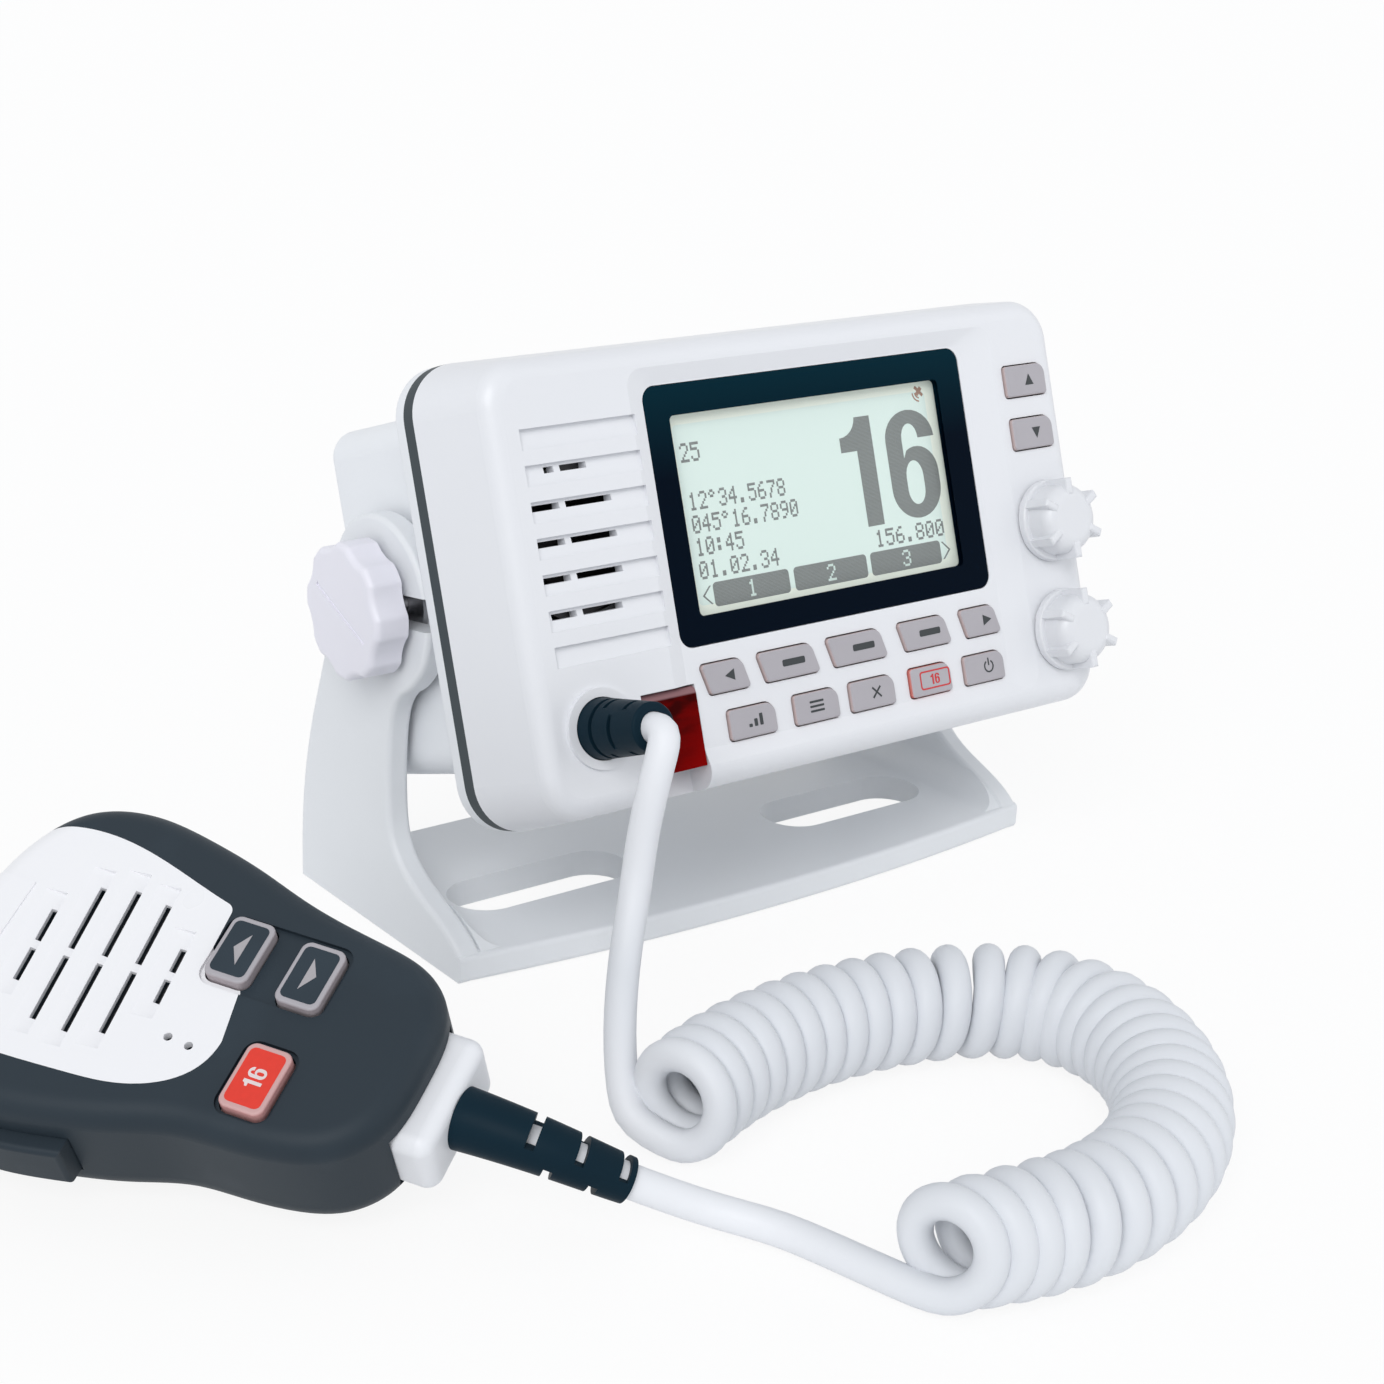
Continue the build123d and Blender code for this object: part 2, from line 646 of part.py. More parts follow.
# ---------------------------------------------------------------- rotary knobs with encoders
encoders = []
for word, y in knob_rows.items():
    cover -= rod(bush_radius + bush_clearance, 0, 30, knob_x, y)
    body = Pos(knob_x, y, (board_front + ceiling - display_gap) / 2) * Box(
        encoder_size, encoder_size, ceiling - display_gap - board_front)
    body += rod(bush_radius, ceiling - display_gap, cover_depth - bush_clearance, knob_x, y)
    shaft_foot = board_front + encoder_floor
    body -= rod(shaft_radius + shaft_clearance, shaft_foot - encoder_shaft_gap, 30, knob_x, y)
    encoders.append(body)
    start = cover_depth + knob_lift
    tip = start + knob_length
    dial = rod(knob_flange_radius, start, start + knob_flange_thickness)
    dial = fillet(dial.edges(), knob_flange_round)
    grip = Pos(0, 0, (start + tip) / 2) * Cone(knob_body_radius, knob_tip_radius, knob_length)
    grip = fillet(grip.faces().sort_by(Axis.Z)[-1].edges(), knob_tip_round)
    dial += grip
    for i in range(knob_ribs):
        rib = block(knob_rib_foot, knob_rib_outer, -knob_rib_width / 2, knob_rib_width / 2,
                    start, tip + knob_rib_tip)
        rib = fillet(rib.faces().sort_by(Axis.Z)[-1].edges(), knob_rib_round)
        dial += Rot(0, 0, 360 / knob_ribs * (i + 0.5)) * rib
    dial -= rod(shaft_radius, 0, tip - knob_tip_wall)
    add(word + "_knob", PANEL * Pos(knob_x, y, 0) * dial)
    add(word + "_shaft", PANEL * rod(shaft_radius, shaft_foot, tip - knob_tip_wall, knob_x, y))
add("encoders", PANEL * Compound(children=encoders))

# ---------------------------------------------------------------- microphone outlet
cover -= rod(gland_tube_radius + relief_sleeve_clearance, 0, 30, outlet_x, outlet_y)
ring = rod(outlet_ring_radius, cover_depth, cover_depth + outlet_ring_height, outlet_x, outlet_y)
ring -= rod(relief_root_radius + relief_sleeve_clearance, 0, 40, outlet_x, outlet_y)
add("cord_outlet_ring", PANEL * ring)
OUTLET = PANEL * Pos(outlet_x, outlet_y, cover_depth)


def relief_size(z):
    """Radius of the relief at one height above the face."""
    return relief_root_radius + (relief_neck_radius - relief_root_radius) * z / relief_length


relief = Pos(0, 0, relief_length / 2) * Cone(relief_root_radius, relief_neck_radius, relief_length)
relief = fillet(relief.edges().sort_by(Axis.Z)[-1], relief_tip_round)
groove = rod(2 * relief_root_radius, relief_first_ring, relief_first_ring + relief_groove)
groove -= rod(relief_size(relief_first_ring) - relief_groove_depth, 0, relief_length)
relief -= groove
for i in range(relief_windows):
    z = relief_first_ring + (i + 1) * relief_ring_pitch
    for quarter in (0, 2):
        pair = Rot(0, 0, 90 * (quarter + i)) * Pos(0, relief_size(z) + relief_groove_depth / 2, z)
        relief -= pair * Box(relief_window_width, 3 * relief_groove_depth, relief_groove)
relief -= rod(cord_diameter / 2, relief_length - relief_socket, relief_length + 1)
relief += rod(gland_tube_radius, -cover_depth + board_front, 0)
add("panel_cord_relief", OUTLET * relief)

# ---------------------------------------------------------------- speaker
speaker_front = ceiling - speaker_gap
rim_back = speaker_front - speaker_rim_thickness
magnet_front = speaker_front - speaker_depth + magnet_length
basket_depth = rim_back - magnet_front
basket = rod(speaker_radius, rim_back, speaker_front)
basket += Pos(0, 0, (rim_back + magnet_front) / 2) * Cone(magnet_radius, speaker_radius, basket_depth)
basket += rod(magnet_radius, magnet_front - magnet_length, magnet_front)
cone_radius = speaker_radius - speaker_rim
cone_foot = magnet_radius - speaker_rim
bowl = Pos(0, 0, (rim_back + magnet_front) / 2) * Cone(cone_foot, cone_radius, basket_depth)
basket -= bowl
basket -= rod(cone_radius, rim_back, speaker_front + 1)
diaphragm = bowl - Pos(0, 0, speaker_skin) * bowl
seat = Pos(speaker_x, speaker_y, 0)
add("speaker_frame", PANEL * seat * basket)
add("speaker_cone", PANEL * seat * diaphragm)

# ---------------------------------------------------------------- control board
inner_half_width = span(display_back)[0] - side_wall
inner_half_height = span(display_back)[1] - side_wall
board_left = window_x - display_width / 2 - board_module_margin
board_right = inner_half_width - board_side_gap
board_top = inner_half_height - board_top_gap
board_foot = board_foot_gap - inner_half_height
board_back_face = display_back - board_thickness
board = block(board_left, board_right, board_foot, board_top, board_back_face, display_back)
board += block(pocket_x - board_tab_width, board_left, board_foot, pocket_top, board_back_face, display_back)
for x, y in screw_places(case_screw_x, case_screw_y):
    board -= rod(screw_boss_radius + board_boss_gap, 0, 30, x, y)
mounting_posts = [(x, y) for x in (board_left + board_post_inset_x, field_right - board_post_right)
                  for y in (board_top - board_post_inset_top, board_foot + board_post_inset_foot)]
board_screws = []
for x, y in mounting_posts:
    cover += rod(standoff_radius, display_back, ceiling, x, y)
    cover -= rod(board_screw_radius, 0, ceiling - board_post_bite + 0.5, x, y)
    board -= rod(board_screw_radius + screw_clearance, 0, 30, x, y)
    screw = rod(board_screw_radius, board_back_face, ceiling - board_post_bite, x, y)
    screw += rod(board_screw_head, board_back_face - head_height, board_back_face, x, y)
    board_screws.append(screw)
add("control_board", PANEL * board)
add("front_cover", PANEL * cover)

# ---------------------------------------------------------------- gasket and rear case
gasket = plate(panel_width, panel_height, panel_corner, -gasket_thickness, 0)
gasket -= plate(panel_width - 2 * gasket_width, panel_height - 2 * gasket_width,
                panel_corner - gasket_width, -gasket_thickness, 0)
add("panel_gasket", PANEL * gasket)
case_width = 2 * case_half
flange = plate(panel_width, panel_height, panel_corner, flange_back, -gasket_thickness)
flange = fillet(flange.faces().sort_by(Axis.Z)[0].edges(), edge_round)
box_part = plate(case_width, case_height, case_corner, case_back, flange_back + 1, 0, case_rise)
box_part = fillet(box_part.faces().sort_by(Axis.Z)[0].edges(), case_back_round)
case = flange + box_part
cavity_back = case_back + case_back_wall
inside_width = case_width - 2 * case_wall
inside_height = case_height - 2 * case_wall
case -= plate(inside_width, inside_height, case_inner_corner, cavity_back, 0, 0, case_rise)
groove_top = case_rise + case_height / 2 + 5
for i in range(fin_count):
    x = (i - (fin_count - 1) / 2) * fin_pitch
    case -= block(x - fin_groove / 2, x + fin_groove / 2, fin_bottom, groove_top,
                  case_back - 1, case_back + fin_depth)
boss_reach = clamp_stud_reach + clamp_insert_floor
for side, word in ((-1, "left"), (1, "right")):
    foot = case_half - boss_reach - 1
    boss = side_rod(clamp_insert_radius + clamp_boss_wall, foot, case_half - 1, axis_y, axis_z)
    bore = side_rod(clamp_insert_radius, case_half - boss_reach, 200, axis_y, axis_z)
    metal = side_rod(clamp_insert_radius, case_half - boss_reach, case_half, axis_y, axis_z)
    metal -= side_rod(clamp_stud_radius + stud_clearance, case_half - clamp_stud_reach - 0.5, 200,
                      axis_y, axis_z)
    if side < 0:
        boss, bore, metal = [mirror(shape, Plane.YZ) for shape in (boss, bore, metal)]
    case += boss
    case -= bore
    inserts.append(PANEL * metal)
add("clamp_inserts", *inserts)

board_back = cavity_back + standoff_height
main_board = block(-main_board_width / 2, main_board_width / 2, case_rise - main_board_height / 2,
                   case_rise + main_board_height / 2, board_back, board_back + board_thickness)
standoff_x = main_board_width / 2 - standoff_inset
standoff_y = main_board_height / 2 - standoff_inset
for x, y in screw_places(standoff_x, standoff_y, case_rise):
    case += rod(standoff_radius, cavity_back, board_back, x, y)
    case -= rod(board_screw_radius, board_back - standoff_bore, board_back, x, y)
    main_board -= rod(board_screw_radius + screw_clearance, board_back - 1, board_back + 5, x, y)
    screw = rod(board_screw_radius, board_back - board_screw_length, board_back + board_thickness, x, y)
    screw += rod(board_screw_head, board_back + board_thickness,
                 board_back + board_thickness + head_height, x, y)
    board_screws.append(screw)
add("main_board", PANEL * main_board)
add("board_screws", *[PANEL * s for s in board_screws])

socket = plate(antenna_flange, antenna_flange, 2.0, case_back - antenna_plate, case_back,
               antenna_x, rear_row_y)
socket += rod(antenna_thread_radius, case_back - antenna_length, cavity_back + 2, antenna_x, rear_row_y)
socket -= rod(antenna_thread_radius - antenna_wall, case_back - antenna_length - 1,
              case_back - antenna_bore_floor, antenna_x, rear_row_y)
socket += rod(antenna_pin_radius, case_back - antenna_length + antenna_pin_recess, case_back,
              antenna_x, rear_row_y)
case -= rod(antenna_thread_radius, case_back - 1, cavity_back + 1, antenna_x, rear_row_y)
add("antenna_socket", PANEL * socket)
glands = []
for x in (power_gland_x, data_gland_x):
    gland = Pos(x, rear_row_y, case_back - rear_gland_length / 2) * Cone(
        rear_gland_radius - rear_gland_taper, rear_gland_radius, rear_gland_length)
    gland += rod(rear_gland_neck, case_back, cavity_back + 2, x, rear_row_y)
    gland -= rod(cord_diameter / 2, case_back - rear_gland_length - 1, cavity_back + 3, x, rear_row_y)
    case -= rod(rear_gland_neck, case_back - 1, cavity_back + 1, x, rear_row_y)
    glands.append(PANEL * gland)
add("rear_cable_glands", *glands)
case_screws = []
for x, y in screw_places(case_screw_x, case_screw_y):
    case -= rod(case_screw_radius + screw_clearance, flange_back - 1, 0, x, y)
    screw = rod(case_screw_radius, flange_back, screw_reach - 0.5, x, y)
    screw += rod(case_screw_head, flange_back - head_height, flange_back, x, y)
    case_screws.append(PANEL * screw)
add("case_screws", *case_screws)
add("rear_case", PANEL * case)

# ---------------------------------------------------------------- microphone shells
# MIC frame: X runs from the far end to the cord, Z out of the face, the talk switch is on -Y.
plain_side = [(-26.5, 20.8), (-20.5, 28.7), (-10.0, 32.4), (4.0, 31.2), (17.0, 28.1), (27.0, 25.0),
              (37.0, 22.7), (47.0, 21.0), (55.0, 18.6), (60.6, 13.6)]
switch_side = [(60.8, -14.6), (55.4, -20.4), (47.4, -23.4), (37.0, -24.6), (27.0, -25.4), (17.0, -28.4),
               (4.0, -31.6), (-10.0, -32.8), (-20.5, -29.0), (-26.5, -21.0)]
mic_outline_points = [(-mic_length_top, 0.0)] + plain_side + [(mic_length_foot, 0.0)] + switch_side
mic_edge = Spline(mic_outline_points, periodic=True)


def mic_outline(grow=0.0):
    """Outline of the microphone's face, grown or shrunk by moving its points along their normals."""
    moved = []
    for point in mic_outline_points:
        heading = mic_edge.tangent_at(mic_edge.param_at_point(point))
        moved.append((point[0] - grow * heading.Y, point[1] + grow * heading.X))
    return make_face(Spline(moved, periodic=True))


def mic_solid(grow=0.0):
    """Outer form of the microphone, grown or shrunk all round."""
    solid = extrude(Pos(0, 0, grow) * mic_outline(grow), -mic_thickness - 2 * grow)
    solid = fillet(solid.edges().sort_by(Axis.Z)[-1], mic_face_round + grow)
    return fillet(solid.edges().sort_by(Axis.Z)[0], mic_back_round + grow)


mic_body = mic_solid()
mic_inside = mic_solid(-mic_wall)
mic_shell = mic_body - mic_inside


def mic_post(radius, z0, z1, place):
    """Upright cylinder in the microphone, by depths below its face."""
    return rod(radius, -z1, -z0, *place)


# Panel over the loudspeaker: it follows the face and wraps over the far end.
near_side = Spline((28.6, -8.0), (25.6, -16.0), (16.2, -21.2), (4.9, -22.6), (-7.0, -23.2), (-22.0, -22.6))
far_side = Spline((-24.0, 22.2), (-15.0, 24.2), (1.4, 21.9), (17.0, 17.6))
panel_area = make_face([
    near_side, Polyline((-22.0, -22.6), (-40.0, -20.0), (-40.0, 20.0), (-24.0, 22.2)), far_side,
    Polyline((17.0, 17.6), (17.6, 8.0), (26.4, 2.6), (28.6, -8.0))])
panel_area = fillet([v for v in panel_area.vertices() if v.X > 10], 2.0)
panel_column = extrude(Pos(0, 0, -9.0) * panel_area, 12.0)
mic_panel = (mic_body & panel_column) - mic_solid(-mic_panel_thickness)
mic_shell -= mic_panel
badge = (mic_solid(mic_badge_proud) - mic_body) & block(-40, mic_badge_end, -mic_badge_width / 2,
                                                        mic_badge_width / 2, -7.0, 2.0)
mic_panel += badge
for i, half in enumerate(mic_slot_halves):
    x = (i - (len(mic_slot_halves) - 1) / 2) * mic_slot_pitch
    edge = x + mic_slot_width / 2
    ramp = make_face(Polyline((edge - mic_slot_ramp, 0), (edge, -mic_slot_ramp_depth), (edge, 2),
                              (edge - mic_slot_ramp, 2), close=True))
    reach = half + mic_slot_ramp_end
    mic_panel -= Rot(0, 0, mic_slot_turn) * extrude(Plane.XZ.offset(-reach) * ramp, 2 * reach)
    slot = block(edge - mic_slot_width, edge, -half, half, -mic_wall - 1, 2)
    slot -= block(-60, 60, -mic_slot_rib / 2, mic_slot_rib / 2, -60, 60)
    slot = Rot(0, 0, mic_slot_turn) * slot
    mic_panel -= slot
    mic_shell -= slot
for place in mic_sound_holes:
    mic_panel -= mic_post(mic_sound_hole_radius, -2, mic_wall + 1, place)
    mic_shell -= mic_post(mic_sound_hole_radius, -2, mic_wall + 1, place)
add("mic_grille_panel", MIC * mic_panel)
mic_front = mic_wall + speaker_gap
mic_speaker = mic_post(mic_speaker_radius - 2, mic_front, mic_front + mic_speaker_thickness, (0, 0))
mic_speaker += mic_post(mic_speaker_radius / 2, mic_front, mic_front + 2 * mic_speaker_thickness, (0, 0))
add("mic_speaker", MIC * mic_speaker)

# Keys on the face, each through its own hole with a flange behind the wall.
key_pad = RectangleRounded(mic_key_length, mic_key_width, mic_key_corner)
flange_top = mic_wall + key_gap
mic_key_foot = flange_top + key_flange_thickness
mic_board_front = mic_board_back - board_thickness
mic_domes = []
pair_x = [mic_keys["mic_key_up"][0], mic_keys["mic_key_down"][0]]
pair_y = (mic_keys["mic_key_up"][1] + mic_keys["mic_key_down"][1]) / 2
tray = plate(pair_x[1] - pair_x[0] + mic_key_length + 2 * mic_tray_border,
             mic_key_width + 2 * mic_tray_border, mic_key_corner + mic_tray_border,
             -mic_tray_depth, 2, sum(pair_x) / 2, pair_y)
tray += plate(mic_key_length + 2 * mic_tray_border, mic_key_width + 2 * mic_tray_border,
              mic_key_corner + mic_tray_border, -mic_tray_depth, 2, *mic_keys["mic_key_call"])
mic_shell -= tray
nodes["mic_grille_panel"] -= MIC * tray
for name, place in mic_keys.items():
    key_hole = extrude(Pos(*place, -mic_wall - 1) * offset(key_pad, key_gap), 10)
    mic_shell -= key_hole
    nodes["mic_grille_panel"] -= MIC * key_hole
    cap = extrude(Pos(*place, -mic_key_foot) * key_pad, mic_key_foot + mic_key_proud)
    cap = fillet(cap.faces().sort_by(Axis.Z)[-1].edges(), 0.5)
    cap += extrude(Pos(*place, -mic_key_foot) * offset(key_pad, key_flange), key_flange_thickness)
    add(name, MIC * cap)
    mic_domes.append(mic_post(dome_radius, mic_key_foot + mic_key_travel + dome_gap, mic_board_front, place))
add("mic_key_domes", MIC * Compound(children=mic_domes))

# Talk switch: a bar in the side wall.
bar_zone = Rectangle(ptt_right - ptt_left, 40)
bar_mid = (ptt_left + ptt_right) / 2
bar = (mic_outline(ptt_proud) & Pos(bar_mid, -40) * bar_zone) - mic_outline(-mic_wall - 1)
bar = extrude(Pos(0, 0, -ptt_low) * bar, ptt_low - ptt_high)
outer_rim = [e for e in bar.edges() if e.center().Y < -mic_side - ptt_proud / 2]
bar = fillet(outer_rim, ptt_round)
lip = mic_outline(-mic_wall - ptt_gap) - mic_outline(-mic_wall - ptt_gap - ptt_lip)
lip &= Pos(bar_mid, -40) * Rectangle(ptt_right - ptt_left + 2 * ptt_lip, 40)
bar += extrude(Pos(0, 0, -ptt_low - ptt_lip) * lip, ptt_low - ptt_high + 2 * ptt_lip)
add("talk_switch_bar", MIC * bar)
mic_shell -= block(ptt_left - ptt_gap, ptt_right + ptt_gap, -60, -20, -ptt_low - ptt_gap, -ptt_high + ptt_gap)

# Cord boot in the end wall, and the rear button that hangs the microphone up.
boot = Pos((boot_start + boot_end) / 2, 0, -boot_drop) * Box(boot_end - boot_start, boot_width, boot_height)
boot = fillet(boot.edges(), boot_round)
collar = Pos(boot_start + boot_collar / 2, 0, -boot_drop) * Box(
    boot_collar, boot_width + 2 * boot_collar, boot_height + 2 * boot_collar)
boot += collar & mic_inside
mic_shell -= Pos(boot_end, 0, -boot_drop) * Box(
    2 * (boot_end - boot_start - boot_collar), boot_width + 2 * boot_gap, boot_height + 2 * boot_gap)

button_top = mic_thickness + button_length
button = mic_post(button_post_radius, mic_thickness, button_top, (button_x, 0))
head = mic_post(button_head_radius, button_top - button_head_thickness, button_top, (button_x, 0))
button += fillet(head.edges(), 0.8)
button += mic_post(button_post_radius / 2, mic_thickness - mic_wall - 1, mic_thickness, (button_x, 0))
mic_shell -= mic_post(button_post_radius / 2, mic_thickness - mic_wall - 1, mic_thickness + 1, (button_x, 0))
add("mic_hang_button", MIC * button)

mic_board = extrude(Pos(0, 0, -mic_board_back) * mic_outline(-mic_wall - mic_board_gap), board_thickness)
mic_board &= block(mic_board_start, mic_board_end, -60, 60, -60, 60)
bar_inside = mic_side - mic_wall - ptt_gap - ptt_lip - ptt_travel - ptt_board_gap
mic_board -= block(-60, ptt_right + 3 * ptt_lip, -60, -bar_inside + ptt_narrowing, -60, 60)
mic_board -= block(-60, mic_speaker_radius, -mic_speaker_radius, 60, -60, 60)
mic_board -= mic_post(mic_speaker_radius, 0, 20, (0, 0))
switch = block(*mic_switch_x, -bar_inside, mic_switch_inner, -mic_board_back - mic_switch_height,
               -mic_board_back)
front_shell = mic_shell & block(-90, 90, -60, 60, -mic_parting, 5)
rear_shell = mic_shell & block(-90, 90, -60, 60, -60, -mic_parting)
mic_screws = []
for x in mic_post_x:
    place = (x, mic_post_y)
    front_shell += mic_post(mic_boss_radius, mic_wall, mic_board_front, place)
    front_shell -= mic_post(mic_screw_radius, mic_wall - 0.5, mic_board_front, place)
    mic_board -= mic_post(mic_screw_radius + screw_clearance, 0, 20, place)
    screw = mic_post(mic_screw_radius, mic_wall, mic_board_back, place)
    screw += mic_post(mic_screw_head, mic_board_back, mic_board_back + head_height, place)
    mic_screws.append(MIC * screw)
for place in mic_screw_places:
    seat_depth = mic_thickness - mic_wall - 1
    front_shell += mic_post(mic_boss_radius, mic_wall, mic_parting, place)
    front_shell -= mic_post(mic_screw_radius, mic_wall + 1, mic_parting, place)
    rear_shell += mic_post(mic_boss_radius, mic_parting, mic_thickness - 1, place)
    rear_shell -= mic_post(mic_screw_radius + screw_clearance, mic_parting, mic_thickness, place)
    rear_shell -= mic_post(mic_screw_head + screw_clearance, seat_depth, mic_thickness + 5, place)
    mic_board -= mic_post(mic_boss_radius + 0.5, 0, 20, place)
    screw = mic_post(mic_screw_radius, mic_wall + 1.5, seat_depth, place)
    screw += mic_post(mic_screw_head, seat_depth, seat_depth + head_height, place)
    mic_screws.append(MIC * screw)
add("mic_front_shell", MIC * front_shell)
add("mic_rear_shell", MIC * rear_shell)
add("mic_board", MIC * (mic_board + switch))
add("mic_screws", *mic_screws)

# ---------------------------------------------------------------- curly cord
def soft_line(name, points):
    """Straight runs joined by tangent arcs, each arc as large as its neighbours allow."""
    places = [Vector(*p) for p in points]
    radii = []
    for before, here, after in zip(places, places[1:], places[2:]):
        turning = radians((here - before).get_angle(after - here))
        radii.append(0.45 * min((here - before).length, (after - here).length) / tan(turning / 2))
    print(name, "bend radii", [round(r, 1) for r in radii])
    return FilletPolyline(*places, radius=radii)


def tube(line, radius):
    """Round tube along a line."""
    return sweep(Plane(origin=line @ 0, z_dir=line % 0) * Circle(radius), path=line)


def spot(frame, x, y, z):
    """One point of a local frame, in the part's frame."""
    return (frame * Pos(x, y, z)).position


start = spot(OUTLET, 0, 0, relief_length - relief_socket)
beyond = spot(OUTLET, 0, 0, relief_length + mouth_lead)
drop_line = soft_line("cord_drop", [start, beyond] + drop_route)
add("cord_drop", tube(drop_line, cord_diameter / 2))
coil_line = soft_line("cord_coil", [(x, y, coil_height) for x, y in coil_route])
add("cord_coil", tube(coil_line, coil_diameter / 2))
tail_start = boot_start + boot_collar + 1
tail_line = soft_line("cord_tail", [spot(MIC, tail_start, 0, -boot_drop),
                                    spot(MIC, boot_end + boot_lead, 0, -boot_drop)] + tail_route)
add("cord_tail", tube(tail_line, cord_diameter / 2))
sheath = tube(tail_line, cord_diameter / 2 + cord_clearance)
add("mic_cord_boot", MIC * boot - sheath)

sections = []
steps = 6
for i in range(steps + 1):
    d = boot_end - tail_start + mic_relief_length * i / steps
    place = tail_line.position_at(d, position_mode=PositionMode.LENGTH)
    heading = tail_line.tangent_at(d, position_mode=PositionMode.LENGTH)
    size = mic_relief_root + (mic_relief_tip - mic_relief_root) * i / steps
    sections.append(Plane(origin=place, z_dir=heading) * Circle(size))
sleeve = loft([s.face() for s in sections])
for i in range(mic_relief_windows):
    d = boot_end - tail_start + mic_relief_length * (
        mic_relief_first_window + mic_relief_window_pitch * i)
    place = tail_line.position_at(d, position_mode=PositionMode.LENGTH)
    heading = tail_line.tangent_at(d, position_mode=PositionMode.LENGTH)
    side = Plane(origin=place, z_dir=heading, x_dir=heading.cross(Vector(0, 0, 1)))
    shift = mic_relief_root if i % 2 else -mic_relief_root
    sleeve -= side * Pos(0, shift, 0) * Box(4 * mic_relief_root, mic_relief_root * 1.5, mic_relief_window)
sleeve -= sheath
add("mic_cord_relief", sleeve)

for name, shape in nodes.items():
    export_step(shape, "parts/" + name + ".step")
print(len(nodes), "nodes")
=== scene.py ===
"""Finishes, curly cord, display, key legends and stage of a fixed-mount marine VHF radio."""

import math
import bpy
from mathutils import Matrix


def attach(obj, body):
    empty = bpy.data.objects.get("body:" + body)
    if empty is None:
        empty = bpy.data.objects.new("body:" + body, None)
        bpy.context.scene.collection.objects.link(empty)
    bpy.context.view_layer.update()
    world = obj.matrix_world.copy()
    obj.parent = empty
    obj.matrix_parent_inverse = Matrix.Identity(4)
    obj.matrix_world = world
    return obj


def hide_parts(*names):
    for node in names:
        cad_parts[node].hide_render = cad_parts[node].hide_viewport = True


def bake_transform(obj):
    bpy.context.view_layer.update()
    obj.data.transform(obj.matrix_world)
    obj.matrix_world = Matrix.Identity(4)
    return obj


bl_info = {
    "name": "Marine VHF radio",
    "version": (1, 0, 0),
    "blender": (4, 5, 0),
    "location": "3D View > Sidebar > Radio",
    "description": "Finishes, curly cord, display, key legends and stage of a fixed-mount marine VHF radio",
    "category": "Object",
}

import bmesh
import bpy
from bpy.props import FloatProperty, FloatVectorProperty, IntProperty, PointerProperty
from mathutils import Matrix, Vector

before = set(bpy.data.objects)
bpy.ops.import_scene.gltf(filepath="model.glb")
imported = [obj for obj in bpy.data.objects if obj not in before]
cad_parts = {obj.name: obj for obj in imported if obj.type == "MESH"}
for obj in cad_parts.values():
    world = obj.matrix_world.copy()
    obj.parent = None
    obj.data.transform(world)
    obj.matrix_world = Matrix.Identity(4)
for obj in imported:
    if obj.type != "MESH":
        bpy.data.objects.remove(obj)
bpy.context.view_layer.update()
MM = 0.001
UP = Vector((0, 0, 1))
WHITE = (1.0, 1.0, 1.0)

# -------------------- frames of the set, in millimetres
TILT = math.radians(19.0)  # the front panel leans back by this much
TILT_AXIS = Vector((0, 9.0, 74.0))
PANEL_UP = Vector((0, math.sin(TILT), math.cos(TILT)))
PANEL_OUT = Vector((0, -math.cos(TILT), math.sin(TILT)))
PANEL_ORIGIN = TILT_AXIS - 1.6 * PANEL_UP + 29.2 * PANEL_OUT
FACE_HEIGHT = 18.8  # cover's face, out from its back edge
MIC_ORIGIN = Vector((-171.0, -48.5, 39.7))
MIC_TURN = (Matrix.Rotation(math.radians(-58.4), 4, "Z") @ Matrix.Rotation(math.radians(5.7), 4, "Y")
            @ Matrix.Rotation(math.radians(30.2), 4, "X"))


def panel_frame(x=0.0, y=0.0, z=0.0):
    """From millimetres on the front panel to the set's metres."""
    turn = Matrix((Vector((1, 0, 0)), PANEL_UP, PANEL_OUT)).transposed().to_4x4()
    return Matrix.Scale(MM, 4) @ Matrix.Translation(PANEL_ORIGIN) @ turn @ Matrix.Translation((x, y, z))


def mic_frame(x=0.0, y=0.0, z=0.0):
    """From millimetres on the microphone's face to the set's metres."""
    return Matrix.Scale(MM, 4) @ Matrix.Translation(MIC_ORIGIN) @ MIC_TURN @ Matrix.Translation((x, y, z))


# -------------------- sizes and colours a user may change
class CordSettings(bpy.types.PropertyGroup):
    """Curly cord of the microphone."""

    diameter: FloatProperty(name="Cord", description="Diameter of the cord", default=6.3 * MM,
                            unit="LENGTH")
    ring: FloatProperty(name="Ring", description="Outer diameter of the coil", default=23.0 * MM,
                        unit="LENGTH")
    turns: IntProperty(name="Turns", description="Number of turns in the coil", default=34)
    colour: FloatVectorProperty(name="Colour", description="Colour of the cord's jacket", subtype="COLOR",
                                default=(0.86, 0.87, 0.90))
    # painted shade: the jacket's colour made greyer, standing in for the shade between the coil's turns
    coil: FloatVectorProperty(name="Coil", description="Colour of the jacket in the coil", subtype="COLOR",
                              default=(0.73, 0.75, 0.785))


